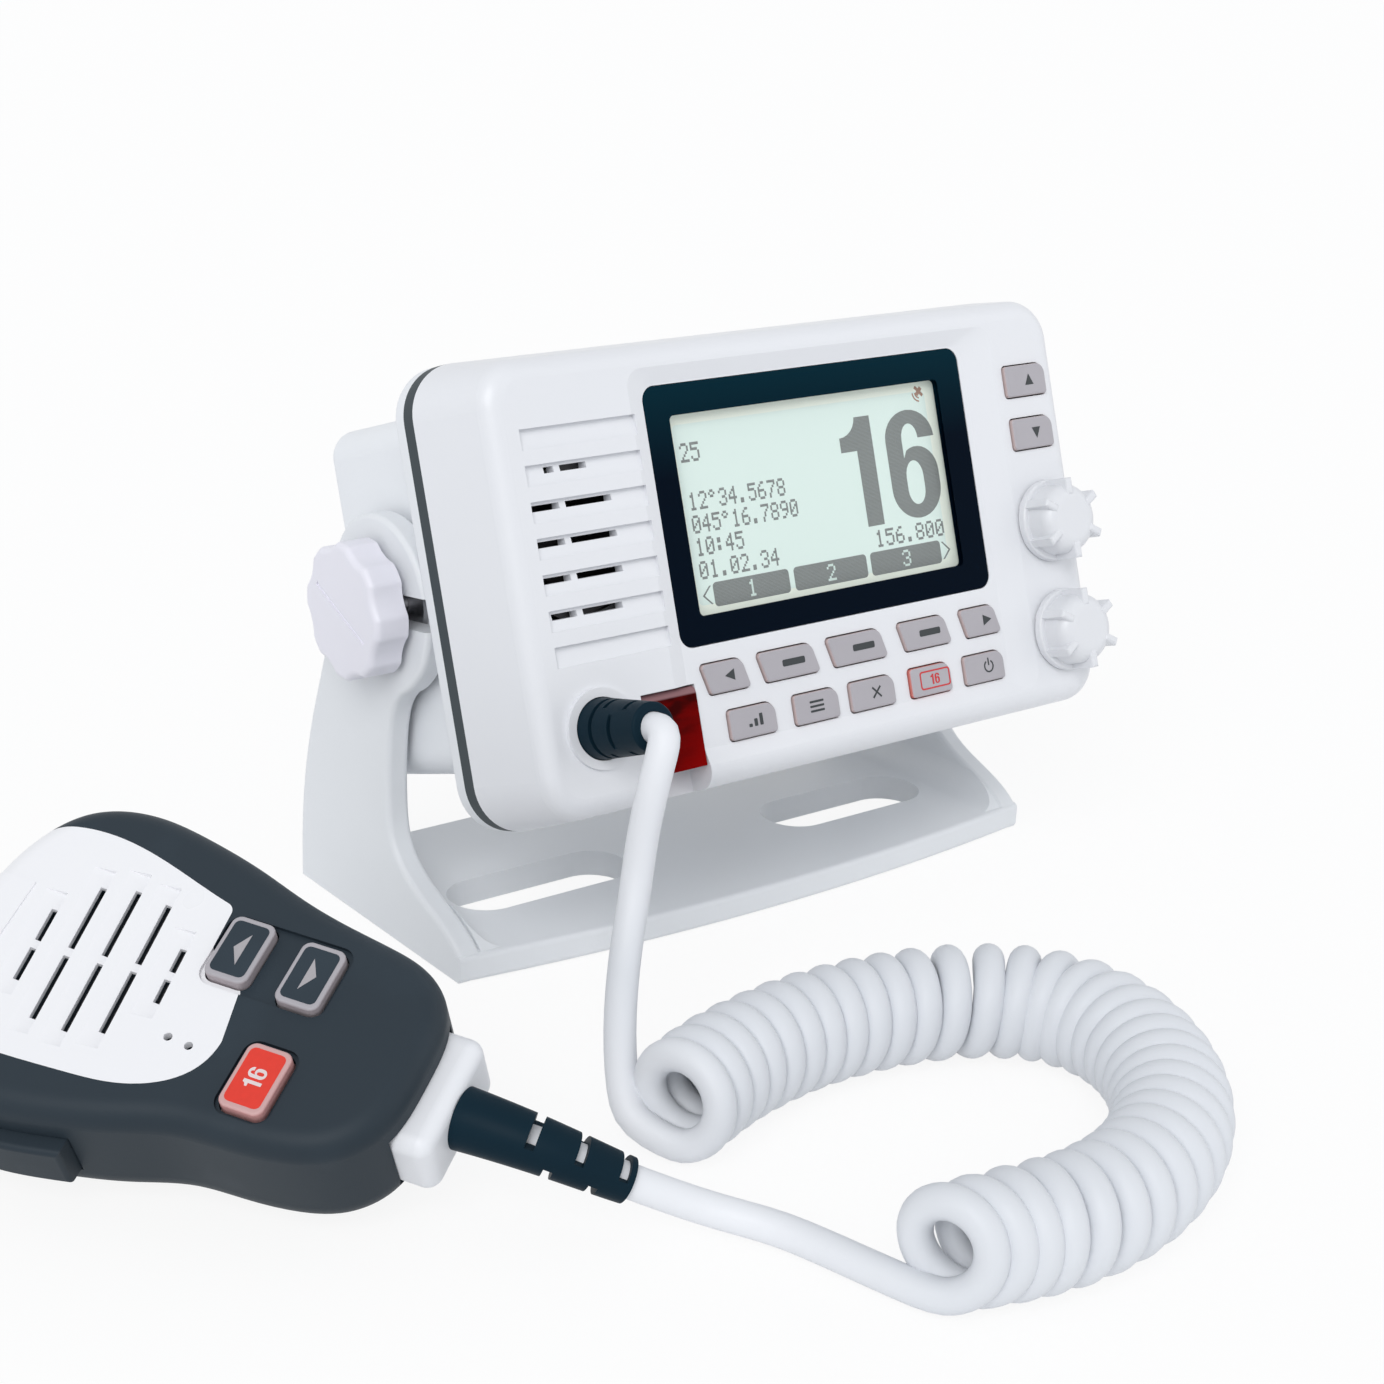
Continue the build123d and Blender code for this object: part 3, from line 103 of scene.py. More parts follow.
class HousingSettings(bpy.types.PropertyGroup):
    """Colours of the housings."""

    cover: FloatVectorProperty(name="Cover", description="Front cover and knobs", subtype="COLOR",
                               default=(0.80, 0.81, 0.84))
    case: FloatVectorProperty(name="Case", description="Painted rear case", subtype="COLOR",
                              default=(0.84, 0.86, 0.89))
    bracket: FloatVectorProperty(name="Bracket", description="Mounting bracket", subtype="COLOR",
                                 default=(0.80, 0.82, 0.845))
    clamps: FloatVectorProperty(name="Clamp knobs", description="Clamp knobs of the bracket",
                                subtype="COLOR", default=(0.84, 0.83, 0.90))
    microphone: FloatVectorProperty(name="Microphone", description="Rubberised shells of the microphone",
                                    subtype="COLOR", default=(0.020, 0.031, 0.042))
    grille: FloatVectorProperty(name="Grille", description="Grille panel of the microphone",
                                subtype="COLOR", default=(0.88, 0.88, 0.90))
    gasket: FloatVectorProperty(name="Gasket", description="Gasket and black rubber", subtype="COLOR",
                                default=(0.03, 0.045, 0.055))
    flap: FloatVectorProperty(name="Flap", description="Clear flap over the distress key",
                              subtype="COLOR", default=(0.13, 0.0, 0.0))
    keys: FloatVectorProperty(name="Keys", description="Translucent rubber of the keys", subtype="COLOR",
                              default=(0.44, 0.42, 0.45))
    legends: FloatVectorProperty(name="Legends", description="Printed signs on the keys", subtype="COLOR",
                                 default=(0.025, 0.032, 0.036))


class DisplaySettings(bpy.types.PropertyGroup):
    """The display behind the window."""

    ground: FloatVectorProperty(name="Ground", description="Lit ground of the display", subtype="COLOR",
                                default=(0.71, 0.83, 0.78))
    ink: FloatVectorProperty(name="Ink", description="Switched-on segments", subtype="COLOR",
                             default=(0.19, 0.19, 0.19))
    border: FloatVectorProperty(name="Border", description="Light guide round the lit ground",
                                subtype="COLOR", default=(0.80, 0.84, 0.74))
    bezel: FloatVectorProperty(name="Bezel", description="Dark print round the display", subtype="COLOR",
                               default=(0.0005, 0.004, 0.011))
    # painted reflection: the teal colour along the bezel's top stands in for the room mirrored in the gloss
    bezel_reflection: FloatVectorProperty(name="Bezel top", description="Dark print along its upper edge",
                                   subtype="COLOR", default=(0.001, 0.02, 0.033))
    width: FloatProperty(name="Width", description="Width that shows in the window", default=74.2 * MM,
                         unit="LENGTH")
    height: FloatProperty(name="Height", description="Height that shows in the window",
                          default=41.7 * MM, unit="LENGTH")


class StageSettings(bpy.types.PropertyGroup):
    """Light, floor and camera."""

    lens: FloatProperty(name="Lens", description="Focal length on a 36 mm sensor", default=65.03,
                        unit="CAMERA")
    key_light: FloatProperty(name="Key light", description="What the main lamp adds on a surface it faces",
                             default=0.42)
    fill_light: FloatProperty(name="Fill light", description="What the side lamp adds on a surface it faces",
                              default=0.12)
    room: FloatProperty(name="Room", description="Strength of the light from all sides", default=0.6)
    room_colour: FloatVectorProperty(name="Room colour", description="Colour of the light from all sides",
                                     subtype="COLOR", default=(0.93, 0.96, 1.0))
    floor: FloatVectorProperty(name="Floor", description="Colour of the floor", subtype="COLOR",
                               default=(0.99, 0.99, 0.99))


# -------------------- shader maths
class Socket:
    """One output of a node. Python's operators on it add Math nodes."""

    def __init__(self, shading, out):
        self.shading = shading
        self.out = out

    def maths(self, operation, *values):
        return self.shading.node("ShaderNodeMath", {"operation": operation}, dict(enumerate(values)))

    def __add__(self, other):
        return self.maths("ADD", self, other)

    def __radd__(self, other):
        return self.maths("ADD", other, self)

    def __sub__(self, other):
        return self.maths("SUBTRACT", self, other)

    def __rsub__(self, other):
        return self.maths("SUBTRACT", other, self)

    def __mul__(self, other):
        return self.maths("MULTIPLY", self, other)

    def __rmul__(self, other):
        return self.maths("MULTIPLY", other, self)

    def __truediv__(self, other):
        return self.maths("DIVIDE", self, other)

    def __rtruediv__(self, other):
        return self.maths("DIVIDE", other, self)

    def __gt__(self, other):
        return self.maths("GREATER_THAN", self, other)

    def __lt__(self, other):
        return self.maths("LESS_THAN", self, other)

    def __abs__(self):
        return self.maths("ABSOLUTE", self)

    def at_least(self, other):
        return self.maths("MAXIMUM", self, other)

    def at_most(self, other):
        return self.maths("MINIMUM", self, other)

    def fraction(self):
        return self.maths("FRACT", self)

    def root(self):
        return self.maths("SQRT", self)


class Shading:
    """The node tree of a material or of the world."""

    def __init__(self, tree):
        self.tree = tree

    def join(self, target, value):
        """A socket's value, or its link."""
        if isinstance(value, Socket):
            self.tree.links.new(value.out, target)
        elif target.type == "RGBA":
            target.default_value = (*value[:3], 1.0)
        else:
            target.default_value = value

    def node(self, kind, settings=None, sockets=None, output=0):
        """Any node: its settings first, then the values or links of its sockets."""
        made = self.tree.nodes.new(kind)
        for key, value in (settings or {}).items():
            setattr(made, key, value)
        for key, value in (sockets or {}).items():
            self.join(made.inputs[key], value)
        return Socket(self, made.outputs[output])

    def behind_object(self):
        """1 on what is seen past the object: in the open, in a mirror and through glass."""
        camera, glossy, clear = [self.node("ShaderNodeLightPath", output=kind)
                                 for kind in ("Is Camera Ray", "Is Glossy Ray", "Is Transmission Ray")]
        return camera.at_least(glossy).at_least(clear)

    def show(self, surface, share, glow):
        """Put a surface on the output, with a share of it replaced by a glow."""
        blend = self.node("ShaderNodeMixShader", None, {0: share, 1: surface, 2: glow})
        output = next(node for node in self.tree.nodes if node.name.endswith("Output"))
        self.join(output.inputs["Surface"], blend)


class Paint(Shading):
    """A material under construction round one Principled shader."""

    def __init__(self, name, colour, roughness, **constants):
        self.material = bpy.data.materials.new(name)
        self.material.use_nodes = True
        super().__init__(self.material.node_tree)
        self.shader = self.tree.nodes["Principled BSDF"]
        self.set("Base Color", colour)
        self.set("Roughness", roughness)
        for socket, value in constants.items():
            self.set(socket.replace("_", " "), value)

    def set(self, socket, value):
        self.join(self.shader.inputs[socket], value)

    def place(self):
        """Position in the piece's own metres."""
        return self.node("ShaderNodeTexCoord", output=3)

    def normal(self):
        """Direction of the surface in the piece's own frame."""
        return self.node("ShaderNodeTexCoord", output=1)

    def dot(self, vector, direction):
        """Share of a vector along one direction."""
        return self.node("ShaderNodeVectorMath", {"operation": "DOT_PRODUCT"},
                         {0: vector, 1: tuple(direction)}, output=1)

    def noise(self, scale, detail=2.0, stretch=None):
        """Soft noise from 0 to 1, with its scale in waves per metre."""
        place = self.place()
        if stretch:
            place = self.node("ShaderNodeVectorMath", {"operation": "MULTIPLY"}, {0: place, 1: stretch})
        return self.node("ShaderNodeTexNoise", None, {"Vector": place, "Scale": scale, "Detail": detail})

    def mix(self, share, first, second):
        """A colour between two colours: sockets 6 and 7 of the node are its colours."""
        return self.node("ShaderNodeMix", {"data_type": "RGBA"}, {0: share, 6: first, 7: second}, output=2)

    def bump(self, height, depth):
        """Relief of the surface, with its depth in metres."""
        self.set("Normal", self.node("ShaderNodeBump", None,
                                     {"Strength": 1.0, "Distance": depth, "Height": height}))

    def panel_place(self):
        """Position across and up the front panel from its middle, in metres."""
        place = self.place()
        return self.dot(place, (1, 0, 0)), self.dot(place, PANEL_UP) - PANEL_ORIGIN.dot(PANEL_UP) * MM


def shade(colour, share):
    """A colour made darker or lighter."""
    return tuple(min(1.0, c * share) for c in colour)


def soft_step(value, start, end):
    """0 up to start, 1 past end, and a straight ramp between them."""
    return ((value - start) / (end - start)).at_least(0.0).at_most(1.0)


def rounded_box(across, up, centre, size, corner):
    """Distance in metres outside a rounded rectangle on the panel, given in millimetres."""
    half_width = size[0] / 2 - corner
    half_height = size[1] / 2 - corner
    past_side = (abs(across - centre[0] * MM) - half_width * MM).at_least(0.0)
    past_top = (abs(up - centre[1] * MM) - half_height * MM).at_least(0.0)
    return (past_side * past_side + past_top * past_top).root() - corner * MM


# -------------------- finishes
def moulded(name, colour, roughness, grain=1500.0, depth=0.000012, drift=0.035, **constants):
    """Moulded plastic or rubber: slow drift of colour and gloss, and a fine grain."""
    paint = Paint(name, colour, roughness, **constants)
    paint.set("Base Color", paint.mix(paint.noise(22.0), colour, shade(colour, 1 - drift)))
    paint.set("Roughness", paint.noise(70.0) * 0.12 + (roughness - 0.06))
    paint.bump(paint.noise(grain, 3.0), depth)
    return paint.material


def handled_rubber(name, colour):
    """Rubberised shell: matte, with a velvety grain and faint polished patches."""
    paint = Paint(name, colour, 0.5, Specular_IOR_Level=0.22)
    wear = soft_step(paint.noise(38.0, 4.0), 0.5, 0.75)
    paint.set("Base Color", paint.mix(wear, colour, shade(colour, 1.25)))
    paint.set("Roughness", 0.52 - wear * 0.08)
    paint.bump(paint.noise(4200.0, 2.0), 0.00002)
    return paint.material


COIL_SHADE_SIDE = (-0.092, -0.080)  # where the coil's painted shade fades in: from the last of the cord's tail to the coil, in metres along X
COIL_SHADE_TOP = (0.026, 0.040)  # where the painted shade fades out: from the coil to the part of the cord that comes down from the panel


def cord_jacket(name, lead, coil):
    """Satin jacket, a little greyer in the coil: painted shade standing in for the shade between its turns.
    """
    paint = Paint(name, lead, 0.5, Specular_IOR_Level=0.4)
    place = paint.place()
    aside = soft_step(paint.dot(place, (1, 0, 0)), *COIL_SHADE_SIDE)
    low = 1.0 - soft_step(paint.dot(place, UP), *COIL_SHADE_TOP)
    # painted shade: the coil's greyer colour laid over the jacket's own
    body = paint.mix(aside * low, lead, coil)
    paint.set("Base Color", paint.mix(paint.noise(22.0) * 0.3, body, shade(coil, 0.95)))
    paint.bump(paint.noise(1800.0, 3.0), 0.00001)
    return paint.material


def painted_case(name, colour):
    """Powder-painted casting with a slight orange peel."""
    paint = Paint(name, colour, 0.4)
    paint.set("Base Color", paint.mix(paint.noise(14.0), colour, shade(colour, 0.95)))
    paint.set("Roughness", paint.noise(120.0) * 0.16 + 0.32)
    paint.bump(paint.noise(900.0, 2.0), 0.00003)
    return paint.material


def metal(name, colour, roughness, stretch=(1, 1, 12)):
    """Machined metal with fine drawn lines."""
    paint = Paint(name, colour, roughness, Metallic=1.0)
    lines = paint.noise(900.0, 3.0, stretch)
    paint.set("Base Color", paint.mix(lines, shade(colour, 0.85), colour))
    paint.set("Roughness", lines * 0.2 + (roughness - 0.1))
    paint.bump(lines, 0.000008)
    return paint.material


def key_rubber(name, colour, facing, rim=(0.54, 0.43, 0.42)):
    """Translucent silicone key: cool on top, with a warm glow down its sides."""
    paint = Paint(name, colour, 0.45, Specular_IOR_Level=0.4)
    top = soft_step(paint.dot(paint.normal(), facing), 0.1, 0.8)
    body = paint.mix(paint.noise(160.0), colour, shade(colour, 0.93))
    paint.set("Base Color", paint.mix(top, rim, body))
    paint.bump(paint.noise(2600.0), 0.00001)
    return paint.material


FLAP_FADE = (-0.012, 0.002)  # across less up on the panel, where the red gets brighter
FLAP_HINGE = (-0.0260, -0.0256)  # foot of the flap's pale hinge edge, in metres up the panel
FLAP_HINGE_COLOUR = (0.28, 0.15, 0.16)
BEZEL_REFLECTION_FADE = (0.018, 0.036)  # up the panel, where the bezel turns to its painted reflection


def clear_red(name, colour):
    """Red see-through plastic: brighter towards its lower right corner, with flow lines."""
    paint = Paint(name, colour, 0.12, Specular_IOR_Level=0.02, IOR=1.49)
    across, up = paint.panel_place()
    flow = paint.noise(130.0, 3.0, (1, 1, 2.5))
    body = paint.mix(soft_step(flow, 0.38, 0.62), shade(colour, 0.3), colour)
    corner = soft_step(across - up, *FLAP_FADE)
    body = paint.mix(corner, body, shade(colour, 1.9))
    paint.set("Base Color", paint.mix(soft_step(up, *FLAP_HINGE), body, FLAP_HINGE_COLOUR))
    paint.bump(paint.noise(420.0), 0.00002)
    return paint.material


def dark_glass(name, settings):
    """Window: gloss black print with a clear opening over the display, and a painted reflection along its
    top.
    """
    paint = Paint(name, settings.bezel, 0.09, Specular_IOR_Level=0.02)
    across, up = paint.panel_place()
    opening = (settings.width / MM, settings.height / MM)
    outside = rounded_box(across, up, DISPLAY_CENTRE, opening, DISPLAY_CORNER)
    printed = soft_step(outside, -0.00005, 0.00005)
    # painted reflection: the bezel turns dark teal towards its top
    paint.set("Base Color", paint.mix(soft_step(up, *BEZEL_REFLECTION_FADE), settings.bezel, settings.bezel_reflection))
    paint.set("Alpha", printed * 0.97 + 0.03)
    paint.set("Roughness", 0.07 + paint.noise(60.0) * 0.05)
    return paint.material


def pixel_gaps(across, up, start):
    """1 on the lines between the display's pixels, from a share of the half pixel on."""
    column, row = [(abs((way / (PIXEL * MM)).fraction() - 0.5) * 2.0) > start for way in (across, up)]
    return column.at_least(row)


def lit_display(name, settings):
    """Display: pale ground with a fine pixel grid, shaded where the frame stands over it."""
    ground = tuple(settings.ground)
    paint = Paint(name, ground, 0.55, Specular_IOR_Level=0.15)
    across, up = paint.panel_place()
    opening = (settings.width / MM - 2 * LIGHT_GUIDE, settings.height / MM - 2 * LIGHT_GUIDE)
    edge = rounded_box(across, up, DISPLAY_CENTRE, opening, DISPLAY_CORNER)
    field = paint.mix(pixel_gaps(across, up, 0.72) * 0.25, ground, shade(ground, 1.12))
    shadow = soft_step(edge, -0.004, 0.0) * 0.5
    field = paint.mix(shadow, field, shade(ground, 0.86))
    paint.set("Base Color", paint.mix(soft_step(edge, -0.0001, 0.0001), field, settings.border))
    # painted light, in part: a weak glow of the ground's own colour, partly the display's backlight and
    # partly set to offset the shade on the ground
    paint.set("Emission Color", ground)
    paint.set("Emission Strength", 0.2)
    return paint.material


def display_ink(name, ink, ground):
    """Switched-on pixels: dark dots with a little of the ground between them."""
    paint = Paint(name, ink, 0.6, Specular_IOR_Level=0.1)
    across, up = paint.panel_place()
    paint.set("Base Color", paint.mix(pixel_gaps(across, up, 0.62) * 0.28, ink, ground))
    return paint.material


def circuit_board(name):
    """Green solder resist over copper tracks."""
    paint = Paint(name, (0.01, 0.09, 0.03), 0.35)
    tracks = paint.node("ShaderNodeTexBrick", {"offset": 0.35},
                        {"Vector": paint.place(), "Scale": 260.0, "Mortar Size": 0.06}, output=1)
    paint.set("Base Color", paint.mix(tracks, (0.008, 0.075, 0.028), (0.03, 0.16, 0.05)))
    paint.bump(tracks, 0.00002)
    return paint.material


def printed(name, colour):
    """Screen-printed or inlaid sign."""
    paint = Paint(name, colour, 0.5)
    paint.set("Base Color", paint.mix(paint.noise(700.0), colour, shade(colour, 0.85)))
    paint.bump(paint.noise(3000.0), 0.000006)
    return paint.material


# Which carried-over nodes take which finish.
FINISHES = {
    "cover": ("front_cover", "cord_outlet_ring"),
    "shaded_dials": ("squelch_knob", "volume_knob"),
    "case": ("rear_case",),
    "bracket": ("mounting_bracket",),
    "clamps": ("clamp_knob_left", "clamp_knob_right"),
    "gasket": ("panel_gasket",),
    "black_rubber": ("panel_cord_relief", "mic_cord_relief", "rear_cable_glands"),
    "steel": ("clamp_stud_left", "clamp_stud_right", "clamp_washers", "distress_flap_pin", "squelch_shaft",
              "volume_shaft", "board_screws", "case_screws", "mic_screws", "key_domes",
              "mic_key_domes"),
    "brass": ("clamp_inserts", "antenna_socket"),
    "component": ("encoders", "speaker_frame", "speaker_cone", "mic_speaker"),
    "circuit_board": ("control_board", "main_board", "mic_board"),
    "microphone": ("mic_front_shell", "mic_rear_shell", "talk_switch_bar", "mic_hang_button"),
    "grille": ("mic_grille_panel",),
    "boot": ("mic_cord_boot",),
    "flap": ("distress_flap",),
    "window": ("display_window",),
    "display": ("display_module",),
    "distress_key": ("distress_key",),
    "keys": ("key_left", "key_soft_1", "key_soft_2", "key_soft_3", "key_right", "key_level", "key_menu",
             "key_clear", "key_power", "key_up", "key_down"),
    "call_key": ("key_call",),
    "mic_keys": ("mic_key_up", "mic_key_down"),
    "mic_call_key": ("mic_key_call",),
}
DISPLAY_CENTRE = (4.3, 10.05)
DISPLAY_CORNER = 1.2
DISPLAY_FACE = 14.9  # front of the display module, out from the cover's back edge
LIGHT_GUIDE = 2.0  # bright border inside the window's opening
PIXEL = 0.29


class RADIO_OT_dress_housings(bpy.types.Operator):
    """Give every piece of the set its finish"""

    bl_idname = "radio.dress_housings"
    bl_label = "Dress housings"

    def execute(self, context):
        look = context.scene.radio_housings
        screen = context.scene.radio_display
        mic_out = MIC_TURN.to_3x3() @ UP
        finishes = {
            "cover": moulded("cover_satin_white", look.cover, 0.34, 1700.0, 0.000008),
            # painted shade: the knobs take the cover's white made darker, standing in for the shade on them
            "shaded_dials": moulded("dial_white_painted_shade", shade(look.cover, 0.95), 0.34, 1700.0, 0.000008),
            "case": painted_case("case_paint_white", look.case),
            "bracket": moulded("bracket_grey_white", look.bracket, 0.46, 1100.0, 0.000022),
            "clamps": moulded("clamp_knob_lilac_white", look.clamps, 0.4, 1300.0, 0.000014),
            "gasket": moulded("gasket_rubber", look.gasket, 0.62, 1800.0, 0.00002, 0.2),
            "black_rubber": moulded("relief_rubber", (0.007, 0.023, 0.037), 0.42, 2200.0, 0.000015, 0.25,
                                    Specular_IOR_Level=0.05),
            "steel": metal("turned_steel", (0.58, 0.58, 0.6), 0.32),
            "brass": metal("plated_brass", (0.72, 0.55, 0.28), 0.3),
            "component": moulded("component_black", (0.03, 0.03, 0.034), 0.5, 1500.0, 0.00003, 0.3),
            "circuit_board": circuit_board("circuit_board_green"),
            "microphone": handled_rubber("microphone_rubberised", look.microphone),
            "grille": moulded("grille_gloss_white", look.grille, 0.3, 2000.0, 0.000006, 0.02),
            "boot": moulded("boot_white", shade(look.cover, 1.03), 0.44, 1600.0, 0.00001),
            "flap": clear_red("flap_clear_red", look.flap),
            "window": dark_glass("window_print", screen),
            "display": lit_display("display_ground", screen),
            "distress_key": moulded("distress_key_red", (0.5, 0.01, 0.01), 0.4),
            "keys": key_rubber("key_silicone", look.keys, PANEL_OUT),
            "call_key": key_rubber("call_key_silicone", shade(look.keys, 1.03), PANEL_OUT,
                                   rim=(0.66, 0.2, 0.17)),
            "mic_keys": key_rubber("mic_key_silicone", shade(look.keys, 0.95), mic_out,
                                   rim=(0.42, 0.37, 0.39)),
            "mic_call_key": key_rubber("mic_call_key_silicone", (0.62, 0.38, 0.37), mic_out,
                                       rim=(0.6, 0.3, 0.29)),
        }
        dressed = set()
        for finish, names in FINISHES.items():
            for name in names:
                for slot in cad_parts[name].material_slots:
                    slot.material = finishes[finish]
                dressed.add(name)
        left = set(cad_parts) - dressed - set(CORD_NODES)
        if left:
            raise RuntimeError("no finish for " + ", ".join(sorted(left)))
        return {"FINISHED"}


# -------------------- making pieces
PRINT = 0.05  # thickness of printed shapes, in millimetres
NUMERAL_UNITS = 24.0  # the numerals are drawn this many units high
SIX_START = 12.9  # left end of the 6 of 16
SIXTEEN_MIDDLE = 13.6  # middle of 16, from the left end of its 1


def new_piece(name, mesh, material, body):
    """A piece that rides on a body, when one is given, with the material it is given."""
    piece = bpy.data.objects.new(name, mesh)
    bpy.context.scene.collection.objects.link(piece)
    mesh.materials.clear()
    mesh.materials.append(material)
    if body:
        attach(piece, body)
    return piece


def curve_mesh(curve):
    """What a curve gives as a mesh. The curve itself is used up."""
    holder = bpy.data.objects.new(curve.name, curve)
    mesh = bpy.data.meshes.new_from_object(holder)
    bpy.data.objects.remove(holder)
    bpy.data.curves.remove(curve)
    return mesh


def built_mesh(name, made):
    """What was built face by face, as a mesh."""
    mesh = bpy.data.meshes.new(name)
    made.to_mesh(mesh)
    made.free()
    return mesh


def spline_points(route, resolution):
    """Points along the smooth open spline that a route controls."""
    curve = bpy.data.curves.new("route", "CURVE")
    curve.dimensions = "3D"
    spline = curve.splines.new("NURBS")
    spline.points.add(len(route) - 1)
    for point, place in zip(spline.points, route):
        point.co = (*place, 1.0)
    spline.order_u = 3
    spline.use_endpoint_u = True
    spline.resolution_u = resolution
    mesh = curve_mesh(curve)
    points = [v.co.copy() for v in mesh.vertices]
    bpy.data.meshes.remove(mesh)
    return points


def new_print(name, loops, place, material, body):
    """A thin printed piece from closed outlines. An outline inside another is a hole."""
    curve = bpy.data.curves.new(name, "CURVE")
    curve.dimensions = "2D"
    curve.fill_mode = "BOTH"
    curve.extrude = PRINT / 2
    for loop in loops:
        spline = curve.splines.new("POLY")
        spline.points.add(len(loop) - 1)
        for point, (x, y) in zip(spline.points, loop):
            point.co = (x, y, 0.0, 1.0)
        spline.use_cyclic_u = True
    mesh = curve_mesh(curve)
    mesh.transform(place @ Matrix.Translation((0, 0, PRINT / 2)))
    mesh.name = name
    new_piece(name, mesh, material, body)


def arc(centre, radius, start, end, steps=8):
    """Points on an elliptic arc, with its angles in degrees."""
    rx, ry = radius if isinstance(radius, tuple) else (radius, radius)
    angles = [math.radians(start + (end - start) * i / steps) for i in range(steps + 1)]
    return [(centre[0] + rx * math.cos(a), centre[1] + ry * math.sin(a)) for a in angles]


def rounded(x0, x1, y0, y1, corner, steps=4):
    """Outline of a rectangle with round corners."""
    loop = []
    for cx, cy, start in ((x1, y1, 0), (x0, y1, 90), (x0, y0, 180), (x1, y0, 270)):
        sx = -corner if cx == x1 else corner
        sy = -corner if cy == y1 else corner
        loop += arc((cx + sx, cy + sy), corner, start, start + 90, steps)
    return loop


def moved(loops, x=0.0, y=0.0, scale=1.0, turn=0.0):
    """Outlines scaled, turned by an angle in degrees, then moved."""
    cos, sin = math.cos(math.radians(turn)), math.sin(math.radians(turn))
    return [[(x + scale * (px * cos - py * sin), y + scale * (px * sin + py * cos)) for px, py in loop]
            for loop in loops]


def ring(outline_radius, width, start=0.0, end=360.0, steps=24):
    """Flat ring, or an open one where its angles don't close."""
    outer = arc((0, 0), outline_radius, start, end, steps)
    inner = arc((0, 0), outline_radius - width, start, end, steps)
    if abs(end - start) >= 360.0:
        return [outer[:-1], inner[:-1]]
    return [outer + inner[::-1]]


def numeral_one(height):
    """Bold condensed 1 with its lower left corner at the origin."""
    unit = height / NUMERAL_UNITS
    stem = [(9.2, 24.0), (9.2, 0.0), (4.5, 0.0), (4.5, 16.7), (0.0, 16.7), (0.0, 19.9)]
    flag = arc((0.0, 24.4), (4.9, 4.5), -90, -5, 6)
    return [[(x * unit, y * unit) for x, y in stem + flag[1:]]]


def numeral_six(height):
    """Bold condensed 6, as wide as 0.6 of its height."""
    unit = height / NUMERAL_UNITS
    outer = arc((7.1, 17.6), (7.1, 6.4), 0, 180, 14)
    outer += arc((7.1, 6.8), (7.1, 6.8), 180, 360, 16)
    outer += arc((8.4, 10.0), (5.8, 5.8), 0, 118, 10)
    outer += [(4.7, 13.4)]
    outer += arc((7.1, 17.6), (2.4, 3.4), 180, 0, 10)
    counter = arc((7.1, 9.2), (2.5, 3.6), 0, 180, 10) + arc((7.1, 6.4), (2.5, 3.4), 180, 360, 10)
    return [[(x * unit, y * unit) for x, y in loop] for loop in (outer, counter)]


def sixteen(height):
    """The number of the calling channel, with its middle at the origin."""
    unit = height / NUMERAL_UNITS
    loops = numeral_one(height) + moved(numeral_six(height), SIX_START * unit)
    return moved(loops, -SIXTEEN_MIDDLE * unit, -height / 2)


# -------------------- display
DOT_FONT = {
    "0": (".###.", "#...#", "#..##", "#.#.#", "##..#", "#...#", ".###."),
    "1": ("..#..", ".##..", "..#..", "..#..", "..#..", "..#..", ".###."),
    "2": (".###.", "#...#", "....#", "...#.", "..#..", ".#...", "#####"),
    "3": (".###.", "#...#", "....#", "..##.", "....#", "#...#", ".###."),
    "4": ("...#.", "..##.", ".#.#.", "#..#.", "#####", "...#.", "...#."),
    "5": ("#####", "#....", "####.", "....#", "....#", "#...#", ".###."),
    "6": ("..##.", ".#...", "#....", "####.", "#...#", "#...#", ".###."),
    "7": ("#####", "....#", "...#.", "..#..", "..#..", ".#...", ".#..."),
    "8": (".###.", "#...#", "#...#", ".###.", "#...#", "#...#", ".###."),
    "9": (".###.", "#...#", "#...#", ".####", "....#", "...#.", ".##.."),
    ".": (".....", ".....", ".....", ".....", ".....", ".##..", ".##.."),
    ":": (".....", ".##..", ".##..", ".....", ".##..", ".##..", "....."),
    "'": ("..#..", "..#..", ".#...", ".....", ".....", ".....", "....."),
    "-": (".....", ".....", ".....", "#####", ".....", ".....", "....."),
    "o": (".##..", "#..#.", ".##..", ".....", ".....", ".....", "....."),
    " ": (".....",) * 7,
}
DOT_ROWS = 7
DOT_COLUMNS = 5
SIGN_SHARE = 0.8  # how much of its advance a sign fills
# Plain numbers on the display: text, left end, foot, height and advance per sign.
DISPLAY_LINES = (
    ("25", -29.7, 21.0, 4.0, 2.75),
    ("12o34.5678", -29.4, 10.95, 3.75, 2.62),
    ("045o16.7890", -29.4, 6.15, 3.75, 2.62),
    ("10:45", -29.4, 1.4, 3.75, 2.62),
    ("01.02.34", -29.4, -3.45, 3.75, 2.72),
    ("156.800", 19.2, -3.6, 3.75, 2.95),
)
CHANNEL_HEIGHT = 24.0
CHANNEL_PLACE = (26.8, 13.2)  # middle of the channel's number
SOFT_BOXES = ((-26.7, -6.3), (-4.9, 15.6), (16.8, 37.4))
SOFT_BOX_FOOT = -9.55
SOFT_BOX_TOP = -4.45
SOFT_NUMBER = (1.1, 0.75, 3.6, 2.9)  # left of the box's middle, above its foot, height and advance
SOFT_ARROWS = ((-29.6, -27.6), (40.3, 38.3))
SOFT_ARROW = (-6.9, 1.95, 0.45)  # middle, half height and width of the arrow's stroke
ARROW_TIP = 1.15  # how much thicker the arrow's tip is
SIGNAL_WAVES = (2.1, 1.35)
SIGNAL_STROKE = 0.32
SIGNAL_PLACE = (37.6, 28.7)
SIGNAL_WAVES_PLACE = (37.9, 28.6)
SIGNAL_CRAFT = [[(-0.55, 1.45), (0.2, 0.75), (0.65, 1.25), (1.25, 0.6), (0.8, 0.1), (1.5, -0.6), (1.0, -1.1),
                 (0.3, -0.4), (-0.2, -0.9), (-0.8, -0.25), (-0.3, 0.25), (-1.05, 0.95)]]


